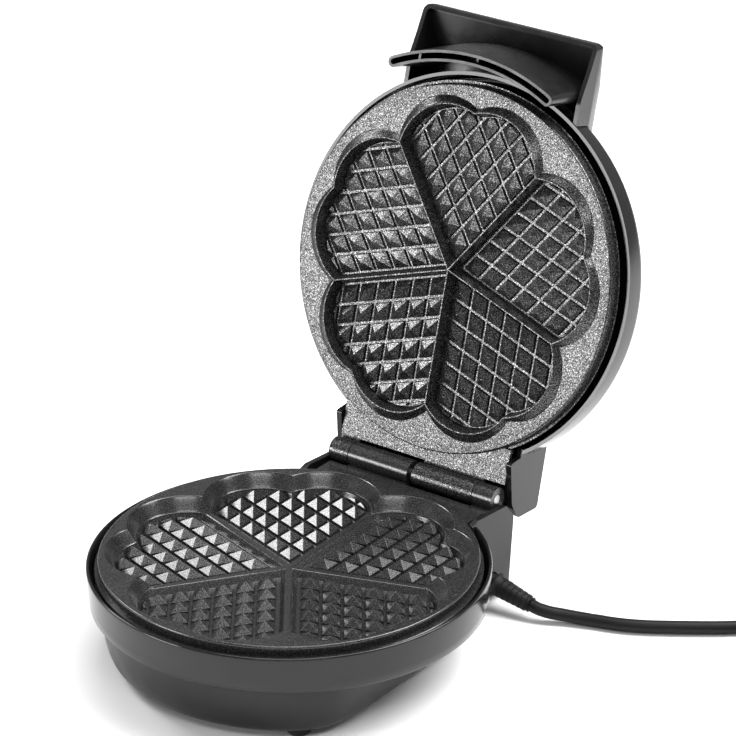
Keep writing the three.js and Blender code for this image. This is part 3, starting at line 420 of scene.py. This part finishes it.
def lobe(place, side):
    """One lobe, from the notch on the axis round to the straight side."""
    lx, ly, radius = place
    tip = side / math.sin(HEART_HALF)
    along = (math.cos(HEART_HALF), math.sin(HEART_HALF))
    bx, by = tip - lx, -ly
    half = bx * along[0] + by * along[1]
    reach = -half + math.sqrt(half * half - bx * bx - by * by + radius * radius)
    first = math.atan2(-ly, math.sqrt(radius * radius - ly * ly))
    last = math.atan2(by + reach * along[1], bx + reach * along[0])
    return [
        (
            lx + radius * math.cos(first + (last - first) * i / LOBE_STEPS),
            ly + radius * math.sin(first + (last - first) * i / LOBE_STEPS) if i else 0.0,
        )
        for i in range(LOBE_STEPS + 1)
    ]


def turned_ring(points, turn, z):
    c, s = math.cos(turn), math.sin(turn)
    return [(x * c - y * s, x * s + y * c, z) for x, y in points]


def heart_ring(place, side, turn, z):
    upper = lobe(place, side)
    lower = [(x, -y) for x, y in reversed(upper[1:])]
    return turned_ring([(side / math.sin(HEART_HALF), 0), *lower, *upper], turn, z)


def flower_ring(place, z):
    upper = lobe(place, 0)
    petal = [(x, -y) for x, y in reversed(upper[1:])] + upper[:-1]
    return [p for turn in HEART_TURNS for p in turned_ring(petal, turn, z)]


def heart_levels(heart):
    """Lobe, side offset and height down a heart's wall, rounded at its top and foot."""
    top = heart["rise"] - heart["rib"]
    drop = heart["depth"] + top
    start = heart["rib"] / heart["depth"]
    ledge = LEDGE if heart["rib"] else 0
    high, low = heart["rib_top"], heart["rib_foot"]
    soft = 0.7 if heart["rib"] else 0.2
    grow = 0 if heart["rib"] else soft

    def wall(t, down):
        place = lobe_at(heart, start + (1 - start) * t, -ledge * (1 - t))
        return place, high + (low - high) * t, top - down

    return [
        (lobe_at(heart, start, grow - ledge), high - soft, top),
        (lobe_at(heart, start, 0.4 * grow - ledge), high - 0.4 * soft, top - 0.15 * soft),
        (lobe_at(heart, start, -ledge), high, top - 0.7 * soft),
        wall(0.2, 0.27 * drop), wall(0.75, 0.8 * drop), wall(0.9, 0.94 * drop), wall(1.02, drop),
    ]


def raised_levels(heart):
    """Lobe and height up the raised part's wall, with a soft foot and a soft lip."""
    rise = heart["rise"]

    def between(share, z):
        pairs = zip(heart["foot"], lobe_at(heart, 0, heart["lip"]))
        return tuple(low + (high - low) * share for low, high in pairs), z

    return [
        between(-0.06, 0), between(0.06, 0.1), between(0.16, 0.35), between(0.5, 0.48 * rise),
        between(0.86, 0.85 * rise), between(0.96, 0.96 * rise), between(1.06, rise),
    ]


def flower_levels(heart):
    """Lobe and height of the wall above the ribs."""
    foot = -heart["rib"]
    start = heart["rib"] / heart["depth"]
    soft = ((0.45, 0.0), (0.1, -0.12), (-0.25, -0.55))
    levels = [(lobe_at(heart, 0, grow), z) for grow, z in soft]
    levels += [(lobe_at(heart, start * t), foot * t) for t in (0.3, 0.6, 0.9)]
    return [*levels, (lobe_at(heart, start), foot + 0.1), (lobe_at(heart, start, -0.2), foot)]


def fill_flat(rings):
    """Triangles between an outer ring and the rings inside it, all at one height."""
    body = bmesh.new()
    for ring in rings:
        verts = [body.verts.new(p) for p in ring]
        for i, vert in enumerate(verts):
            body.edges.new((vert, verts[(i + 1) % len(verts)]))
    bmesh.ops.triangle_fill(body, edges=body.edges[:], use_beauty=True, normal=(0, 0, 1))
    body.verts.index_update()
    points = [tuple(v.co) for v in body.verts]
    faces = [tuple(v.index for v in face.verts) for face in body.faces]
    body.free()
    return points, faces


def circle(radius, z, sides=ROUND):
    return [
        (radius * math.cos(TAU * i / sides), radius * math.sin(TAU * i / sides), z)
        for i in range(sides)
    ]


def plate_skin(heart):
    """The casting's cooking face: rim, walls, ribs, hearts and the flat back, as one surface."""
    points, faces = [], []

    def add(new_points, new_faces):
        start = len(points)
        points.extend(new_points)
        faces.extend(tuple(i + start for i in face) for face in new_faces)

    back = -heart["depth"] - 2
    flange = -5.5
    low = max(back, flange - 2.6)
    edge = PLATE_R - 0.9
    side = [(PLATE_R, flange), (PLATE_R, -1.2), (PLATE_R - 0.15, -0.55), (PLATE_R - 0.45, -0.15),
            (edge, 0)]
    under = [(PLATE_R - 7, back), (FLANGE_R - 4, low), (98.1, low + 0.1)]
    under += [(FLANGE_R, low + 0.5), (FLANGE_R, flange - 0.3), (98.1, flange)]
    add(*rings_mesh([circle(r, z) for r, z in under + side], caps=False))
    add(circle(PLATE_R - 7, back), [tuple(reversed(range(ROUND)))])
    hearts = []
    for turn in HEART_TURNS:
        rings = [heart_ring(place, gap, turn, z) for place, gap, z in heart_levels(heart)]
        add(*rings_mesh(rings, caps=False))
        add(*fill_flat([rings[-1]]))
        hearts.append(rings[0])
    levels = flower_levels(heart) if heart["rib"] else raised_levels(heart)
    rings = [flower_ring(place, z) for place, z in levels]
    add(*rings_mesh(rings, caps=False))
    add(*fill_flat([circle(edge, 0), rings[0]]))
    add(*fill_flat([rings[-1], *hearts]))
    return make_object("tool", points, faces)


def stud(corner, first, second, height, floor):
    """A steep foot and a low pyramid with a blunt top."""
    def ring(inset, z):
        run = inset / math.sin(2 * HEART_HALF)
        far = PITCH - run
        return [
            (
                corner[0] + first[0] * i + second[0] * j,
                corner[1] + first[1] * i + second[1] * j,
                z,
            )
            for i, j in ((run, run), (far, run), (far, far), (run, far))
        ]

    edge = VALLEY / 2
    return rings_mesh([
        ring(edge, floor - 0.4), ring(edge, floor), ring(edge + 0.4, floor + 0.3 * height),
        ring(PITCH * math.sin(2 * HEART_HALF) / 2 - 0.18, floor + height),
    ])


def studs(heart):
    """Every stud of the plate, trimmed to the outlines of the five hearts."""
    points, faces = [], []
    floor = -heart["depth"]
    start = heart["edge"] / math.sin(HEART_HALF)
    rows = math.ceil(PLATE_R / PITCH)
    wall = lobe_at(heart, 1, -0.5)
    trims = []
    for turn in HEART_TURNS:
        first = (math.cos(turn - HEART_HALF), math.sin(turn - HEART_HALF))
        second = (math.cos(turn + HEART_HALF), math.sin(turn + HEART_HALF))
        for i in range(rows):
            for j in range(rows):
                corner = (
                    start * math.cos(turn) + (first[0] * i + second[0] * j) * PITCH,
                    start * math.sin(turn) + (first[1] * i + second[1] * j) * PITCH,
                )
                if math.hypot(*corner) > PLATE_R:
                    continue
                new_points, new_faces = stud(corner, first, second, heart["stud"], floor)
                offset = len(points)
                points += new_points
                faces += [tuple(k + offset for k in face) for face in new_faces]
        trims.append([
            heart_ring(wall, heart["edge"] - 0.3, turn, z) for z in (floor - 0.25, 2)
        ])
    body = make_object("tool", points, faces)
    trim_points, trim_faces = [], []
    for rings in trims:
        new_points, new_faces = rings_mesh(rings)
        offset = len(trim_points)
        trim_points += new_points
        trim_faces += [tuple(k + offset for k in face) for face in new_faces]
    return keep_common(body, make_object("tool", trim_points, trim_faces))


def deck(heart):
    """The plate's rear tongue with its hinge barrels."""
    half = heart["deck"]
    body = block(-half, half, 84, 102.8, -6.4, -3.6)
    for low, high in KNUCKLES:
        join(body, block(low, high, 99, HINGE_Y, -6.1, -3.6))
        join(body, rod(KNUCKLE_R, low, high, "X", HINGE_Y, HINGE_Z, 64))
    inside = lathe([(0, -20), (PLATE_R - 0.3, -20), (PLATE_R - 0.3, 5), (0, 5)])
    bore = rod(2.9, -60, 60, "X", HINGE_Y, HINGE_Z, 32)
    return cut(body, inside, bore)


def add_plate(name, heart, place, body, material):
    skin = finish_piece(plate_skin(heart), name, place, body, material, [name], smooth=40)
    skin.modifiers.new("normals", "WEIGHTED_NORMAL").keep_sharp = True
    finish_piece(
        studs(heart), name + "_studs", place, body, material, bevel=0.22, smooth=25
    )
    finish_piece(deck(heart), name + "_deck", place, body, material, bevel=0.5, segments=3)


# ------------------------------------------------------------------ base
def rear_slot(low_y):
    """Room for the rear housing and the lid's block, taken out of the round shells."""
    return block(-BLOCK_HALF - GAP, BLOCK_HALF + GAP, low_y, 140, -80, 60)


def lower_shell():
    inner = SHELL_R - SHELL_WALL
    ring = lathe([
        (72, -23.3), (100.2, -23.3), (100.9, -23.0), (101.3, -22.4), (101.7, -18), (102.2, -12),
        (102.55, -6), (102.6, -4.6), (102.5, -4.0), (102.2, -3.6), (101.8, -3.5), (101.2, -3.6),
        (inner, -4.2), (inner - 1.3, -21.7), (72, -21.7),
    ], closed=True)
    cut(ring, rear_slot(60))
    finish_piece(ring, "lower_shell", BASE, "base", "shell", ["lower_shell"], smooth=40)


def pan_ring(radius, half, rear, z, sides=144):
    sharp = 18
    points = []
    for i in range(sides):
        turn = TAU * i / sides
        limits = (1 / radius, abs(math.cos(turn)) / half, max(math.sin(turn), 0) / rear)
        reach = sum(limit ** sharp for limit in limits) ** (-1 / sharp)
        points.append((reach * math.cos(turn), reach * math.sin(turn), z))
    return points


PAN_RADIUS, PAN_HALF, PAN_REAR, PAN_WALL = 97, 78, 92, 2.4
PAN_TAPER, PAN_REAR_TAPER = 8, 2
PAN_BOSSES = [(-61, -46), (61, -46), (-64, 44), (64, 44)]


def base_pan():
    """Tapered pan under the shell, with a soft lower edge."""
    top = -SHELL_FOOT - GAP
    depth = PAN_BOTTOM - SHELL_FOOT - GAP
    steps = [(0, 0), (0.3, 0.12), (0.6, 0.3), (0.8, 0.48), (0.9, 0.62), (0.96, 0.78), (1, 1)]

    def wall(inset, floor):
        return [
            pan_ring(
                PAN_RADIUS - inset - PAN_TAPER * drawn, PAN_HALF - inset - PAN_TAPER * drawn,
                PAN_REAR - inset - PAN_REAR_TAPER * drawn, top - (depth - floor) * down,
            )
            for down, drawn in reversed(steps)
        ]

    body = loft(wall(0, 0))
    hollow = loft(wall(PAN_WALL, PAN_WALL))
    lift = block(-60, 60, -60, 60, top - 1, top + 1)
    cut(body, hollow, lift, rear_slot(80 - GAP))
    for x, y in PAN_BOSSES:
        cut(body, rod(3.6, -60, -PAN_BOTTOM + 6.6, "Z", x, y))
    for x in range(-24, 25, 8):
        cut(body, block(x - 1.5, x + 1.5, -34, -6, -60, -40))
    finish_piece(body, "base_pan", BASE, "base", "housing", ["base_pan"], smooth=40)


CORD_EXIT = (100.5, -42.5)  # y and z of the hole in the housing's right side


def rear_housing():
    side = rounded([
        (80, -51), (116, -51), (120, -12), (113, -3), (88, -1), (80, -3.5),
    ], [0, 2.5, 3, 2.5, 1.5, 0])
    inside = BLOCK_HALF - BLOCK_WALL
    body = prism(side, -BLOCK_HALF, BLOCK_HALF, "X")
    hollow = prism([
        (70, -48.6), (113.4, -48.6), (116.6, -13.3), (111.6, -6.4), (106, 10), (70, 10),
    ], -inside, inside, "X")
    over = block(-inside, inside, 70, 119.4, -8, 10)
    flange = rod(FLANGE_R + 0.6, -8.4, 5, "Z", 0, 0, ROUND)
    eye = rod(5.4, 40, 70, "X", *CORD_EXIT)
    cut(body, hollow, over, flange, eye)
    finish_piece(
        body, "rear_housing", BASE, "base", "housing", ["rear_housing"], bevel=0.7, segments=3
    )


def strain_relief():
    """Ribbed sleeve that tapers from the housing to the cord."""
    profile = [(0, -8), (7, -8), (7, -5.4), (4.7, -5.4), (4.7, 2.1), (6.3, 2.1), (6.6, 2.5)]
    profile += [(6.6, 3.2), (5.8, 4.0)]
    for i in range(6):
        start = 5.2 + 3.2 * i
        r = 5.5 - 0.19 * i
        profile += [(r, start), (r, start + 1.9), (r - 0.7, start + 2.1), (r - 0.75, start + 3.0)]
    profile += [(4.25, 25), (3.5, 25), (0, 25)]
    sleeve = lathe(profile, 40)
    droop = Matrix.Rotation(math.radians(13), 4, "Y")
    tilt = Matrix.Translation((BLOCK_HALF, *CORD_EXIT)) @ droop
    along = tilt @ Matrix.Rotation(math.pi / 2, 4, "Y")
    finish_piece(
        sleeve, "strain_relief", BASE @ along, "base", "rubber", ["strain_relief"], smooth=40
    )


# ------------------------------------------------------------------ lid
DOME = [
    (102.6, 19.5), (102.35, 21.3), (101.6, 22.9), (100.3, 24.5), (98.5, 25.7), (95.6, 26.8),
    (92, 27.6), (82, 28.7), (68, 29.5), (50, 30.0), (30, 30.35), (10, 30.55), (0, 30.6),
]


def dome(grow, low=0.0):
    """Outside of the lid's dome, grown by an amount, as a plug that starts at a height."""
    outer = [(0, low), (SHELL_R + grow, low)]
    outer += [(r + grow * min(1, r / 60), z + grow * (1 if r < 100 else 0)) for r, z in DOME]
    return lathe(outer, 192)


def lamp_holes():
    return [rod(r, 15, 60, "Z", x, KNOB_Y) for r, x in ((3.5, 0), (3.3, -LAMP_X), (3.3, LAMP_X))]


def lid_shell():
    body = dome(0, 9.5)
    cut(body, dome(-SHELL_WALL, 5), rear_slot(83 - GAP), *lamp_holes())
    finish_piece(body, "lid_shell", LID, "lid", "shell", ["lid_shell"], smooth=40)


BAND_CORNERS = [0, 0, 6, 3, 3, 6]


def band_outline(half, top, shoulder, low):
    """Section of the raised band across the lid, with sloped shoulders."""
    return [(-half, low), (half, low), (half, shoulder), (half - 4, top), (4 - half, top),
            (-half, shoulder)]


def top_cover():
    outer = rounded(band_outline(BAND_HALF, BAND_TOP, BAND_SHOULDER, 12), BAND_CORNERS)
    body = prism(outer, -79.7, 82.4, "Y")
    inner = prism(band_outline(BAND_INSIDE, BAND_UNDER, BAND_SHOULDER - 1, 10), -81, 84, "Y")
    cut(body, inner, dome(GAP), *lamp_holes())
    finish_piece(
        body, "lid_top_cover", LID, "lid", "shell", ["lid_top_cover"], bevel=0.4
    )


HOOD_SIDE = [
    (-HANDLE_FRONT, 18), (-HANDLE_FRONT, 22.8), (1.5 - HANDLE_FRONT, 24.3), (-104, 33.6),
    (-98, 34), (-80, 34), (-80, 10), (-100, 10), (-114, 14.2),
]


def plan(half, front, corner):
    """Outline from above, open to the rear, with its two front corners rounded."""
    return rounded([(-half, 0), (-half, -front), (half, -front), (half, 0)], [0, corner, corner, 0])


def hood_hollow(less):
    """The handle's room inside, smaller all round by a clearance."""
    top, inset = BAND_UNDER - less, BAND_WALL + less
    side = [
        (-HANDLE_FRONT + inset, -30), (-HANDLE_FRONT + inset, 22.8 - inset / 2),
        (1.5 - HANDLE_FRONT + inset, 24.3 - inset),
        (-104, top - 0.4), (-98, top), (-79, top), (-79, -30),
    ]
    half = BAND_INSIDE - less
    body = prism(side, -60, 60, "X")
    sides = prism(band_outline(half, top, BAND_SHOULDER - 1, -31), -HANDLE_FRONT - 1, 0, "Y")
    return keep_common(body, sides, prism(plan(half, HANDLE_FRONT - inset, 2), -31, 40, "Z"))


def handle():
    """Hooded handle: a thin front lip, a roof that climbs to the band and two deep cheeks."""
    side = rounded(HOOD_SIDE, [1.2, 1.2, 1.5, 10, 6, 0, 0, 12, 6])
    body = prism(side, -BAND_HALF, BAND_HALF, "X")
    front = rounded(band_outline(BAND_HALF, BAND_TOP, BAND_SHOULDER, -31), BAND_CORNERS)
    outline = plan(BAND_HALF, HANDLE_FRONT, 4.2)
    keep_common(
        body, prism(front, -HANDLE_FRONT - 1, 0, "Y"), prism(outline, -31, 40, "Z"),
    )
    cut(body, hood_hollow(0), dome(GAP))
    finish_piece(body, "handle", LID, "lid", "grip", ["handle"], bevel=0.45, segments=3)


GUARD_HALF, GUARD_IN = 50.6, 108
GUARD_WEBS = (-35, 0, 35)


def guard_ring(inner, outer, half, z, steps=40):
    middle, tip = (inner + outer) / 2, (outer - inner) / 2
    reach = math.asin((half - tip) / middle)

    def arc(radius, start, end):
        turns = [start + (end - start) * i / steps for i in range(steps + 1)]
        return [(radius * math.sin(t), -radius * math.cos(t), z) for t in turns]

    def end(turn, sign):
        points = []
        for i in range(1, 8):
            bend = math.pi * i / 8
            along, radius = sign * tip * math.sin(bend), middle + sign * tip * math.cos(bend)
            points.append((
                radius * math.sin(turn) + along * math.cos(turn),
                -radius * math.cos(turn) + along * math.sin(turn),
                z,
            ))
        return points

    return [*arc(outer, -reach, reach), *end(reach, 1), *arc(inner, reach, -reach),
            *end(-reach, -1)]


def heat_guard():
    """Curved double wall that keeps fingers off the lid's hot edge."""
    body = loft([
        guard_ring(GUARD_IN, 114, GUARD_HALF, -13), guard_ring(GUARD_IN, 117.4, GUARD_HALF, 32),
    ])
    keep_common(body, hood_hollow(GAP))
    slot = (GUARD_IN + 1.5, 112.5, GUARD_HALF - 1.5)
    cut(body, loft([guard_ring(*slot, -14), guard_ring(*slot, 19)]))
    finish_piece(body, "heat_guard", LID, "lid", "grip", ["heat_guard"], bevel=0.35)
    for i, x in enumerate(GUARD_WEBS):
        y = -math.sqrt(111 ** 2 - x ** 2)
        web = block(x - 0.8, x + 0.8, y - 1.9, y + 1.9, -8, 18.9)
        finish_piece(web, f"heat_guard_web_{i + 1}", LID, "lid", "grip", bevel=0.15, segments=1)


def rear_block():
    side = rounded([
        (83, 10), (87.4, 10), (90.5, 1), (113, 9), (121, 17), (117.2, 35), (83, 34),
    ], [0, 0, 1.5, 4, 4, 2.5, 0])
    inside = BLOCK_HALF - BLOCK_WALL
    body = prism(side, -BLOCK_HALF, BLOCK_HALF, "X")
    hollow = prism([
        (70, -5), (103, -5), (103, 10.5), (112, 11.6), (117.9, 17.6), (114.6, 32), (70, 31.2),
    ], -inside, inside, "X")
    under = block(-inside, inside, 70, 117.4, -6, 9.2)
    cut(body, hollow, under)
    for x in (-40, 40):
        cut(body, rod(1.9, 28, 40, "Z", x, 104), rod(3.6, 33.4, 40, "Z", x, 104))
    finish_piece(
        body, "lid_rear_block", LID, "lid", "shell", ["lid_rear_block"], bevel=0.6, segments=3
    )


def knob():
    """Round knob with a raised grip bar, a pointer line and a knurled skirt."""
    body = lathe([
        (0, 0), (16.4, 0), (17, 0.6), (17, 2.2), (16.3, 3.0), (14.8, 3.7), (13.9, 8.4),
        (13.1, 9.4), (0, 9.6),
    ], 96)
    grip = rounded([(-3, -14.2), (3, -14.2), (3, 14.2), (-3, 14.2)], 2.2)
    join(body, prism(grip, 3, 12, "Z"))
    for i in range(30):
        turn = TAU * i / 30
        cut(body, rod(0.55, -1, 2.9, "Z", 17.1 * math.cos(turn), 17.1 * math.sin(turn), 8))
    cut(body, block(-0.5, 0.5, -14.6, -7, 11.6, 13), rod(3.3, -1, 8.3, "Z", 0, 0))
    place = LID @ Matrix.Translation((0, KNOB_Y, BAND_TOP + 0.5))
    finish_piece(body, "thermostat_knob", place, "dial", "grip", ["thermostat_knob"], bevel=0.3)


# ------------------------------------------------------------------ mains cord
CORD_D = 6.8
# The free cord on the table, in the row frame, as the CAD's own route has it.
CORD_ROUTE = [
    (80.7, 48.7, 7.8), (84.5, 49.0, 6.9), (90, 51, 5.7), (97, 54.7, 4.6), (105, 58.2, 3.8),
    (114.6, 61.6, 3.5), (124.7, 65, 3.5), (134.4, 69.7, 3.5), (146, 76.9, 3.5),
    (158, 85.1, 3.5), (170, 93.8, 3.5), (181, 102.3, 3.9), (191.6, 110.3, 4.4),
    (201.5, 117.4, 4.5),
]
CORD_END_ROUTE = [(276.9, 67.2, 11.5), (276.9, 61, 12.1), (276.9, 51, 14.8), (276.9, 41, 18.1),
                  (276.9, 34, 18.8)]
COIL_X, COIL_Y = 235.7, 92.0
COIL_OUTER, COIL_INNER = 41.0, 33.9
COIL_LOW, COIL_HIGH = 4.5, 11.5
COIL_TURNS = 3.35
PER_TURN = 18
PLUG = (276.9, 33.7, 18.8)


def ease(value, start, end):
    t = min(1, max(0, (value - start) / (end - start)))
    return t * t * (3 - 2 * t)


def coil_points():
    """Clockwise: outside low, inside low, inside high, then outside high."""
    first = math.radians(125)
    steps = round(COIL_TURNS * PER_TURN)
    points = []
    for i in range(steps + 1):
        turns = COIL_TURNS * i / steps
        inward = ease(turns, 0.8, 1.05) - ease(turns, 2.35, 2.65)
        radius = COIL_OUTER + (COIL_INNER - COIL_OUTER) * inward
        z = COIL_LOW + (COIL_HIGH - COIL_LOW) * ease(turns, 1.5, 1.85)
        angle = first - TAU * turns
        points.append((COIL_X + radius * math.cos(angle), COIL_Y + radius * math.sin(angle), z))
    return points


def add_cord():
    """One cord from the strain relief, along the table, round the coil and into the plug."""
    points = [*CORD_ROUTE, *coil_points(), (276.75, 79, 11.5), *CORD_END_ROUTE]
    curve = bpy.data.curves.new("mains_cord", "CURVE")
    curve.dimensions = "3D"
    curve.resolution_u = 6
    curve.bevel_depth = CORD_D / 2 * MM
    curve.bevel_resolution = 5
    curve.use_fill_caps = True
    spline = curve.splines.new("BEZIER")
    spline.bezier_points.add(len(points) - 1)
    for knot, point in zip(spline.bezier_points, points):
        knot.co = Vector(point) * MM
        knot.handle_left_type = knot.handle_right_type = "AUTO"
    curve.materials.append(MATERIALS["cord"])
    obj = bpy.data.objects.new("mains_cord", curve)
    bpy.context.scene.collection.objects.link(obj)
    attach(obj, "base")
    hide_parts("cord", "cord_coil", "cord_end")


# ------------------------------------------------------------------ stage and lights
# Name, azimuth and elevation in degrees, distance and size in metres, and power in watts.
LIGHTS = [
    ("left_box", 187, 36, 1.5, (0.45, 0.45), 11),
    ("front_box", 238, 6, 2.2, (0.8, 0.7), 23),
    ("top_box", 100, 78, 1.8, (1.4, 1.0), 30),
    ("key_box", 306, 44, 2.4, (1.4, 0.5), 16),
    ("right_box", 35, 50, 1.3, (0.8, 0.8), 26),
]


def area_light(name, azimuth, elevation, distance, size, power):
    """Softbox aimed at the middle of the object."""
    a, e = math.radians(azimuth), math.radians(elevation)
    away = Vector((math.cos(a) * math.cos(e), math.sin(a) * math.cos(e), math.sin(e)))
    light = bpy.data.lights.new(name, "AREA")
    light.shape = "RECTANGLE"
    light.size, light.size_y = size
    light.energy = power
    obj = bpy.data.objects.new(name, light)
    bpy.context.scene.collection.objects.link(obj)
    target = Vector((0, 0.03, 0.1))
    obj.location = target + away * distance
    obj.rotation_euler = away.to_track_quat("Z", "Y").to_euler()


def add_stage():
    floor_mesh = bpy.data.meshes.new("floor")
    reach = 12
    corners = [(-reach, -reach, 0), (reach, -reach, 0), (reach, reach, 0), (-reach, reach, 0)]
    floor_mesh.from_pydata(corners, [], [(0, 1, 2, 3)])
    floor = bpy.data.objects.new("floor", floor_mesh)
    bpy.context.scene.collection.objects.link(floor)
    material, nodes, links, shader = new_material("floor")
    vector = object_coordinates(nodes, links, 1)
    cloud = noise(nodes, links, vector, 2, 2)
    links.new(ramp(nodes, links, cloud, [(0.3, 0.86), (0.7, 0.88)]), shader.inputs["Base Color"])
    shader.inputs["Roughness"].default_value = 0.7
    floor_mesh.materials.append(material)
    floor.location.z = -0.0005
    world = bpy.data.worlds.new("world")
    world.use_nodes = True
    world.node_tree.nodes["Background"].inputs["Color"].default_value = (1, 1, 1, 1)
    world.node_tree.nodes["Background"].inputs["Strength"].default_value = 0.33
    bpy.context.scene.world = world
    bpy.context.scene.view_settings.view_transform = "Standard"
    for row in LIGHTS:
        area_light(*row)


add_camera()
paint_cad_nodes()
add_cord()
add_plate("lower_plate", LOWER, BASE, "base", "lower_plate")
add_plate("upper_plate", UPPER, LID @ TURNED_OVER, "lid", "upper_plate")
lower_shell()
base_pan()
rear_housing()
strain_relief()
lid_shell()
top_cover()
handle()
heat_guard()
rear_block()
knob()
add_stage()
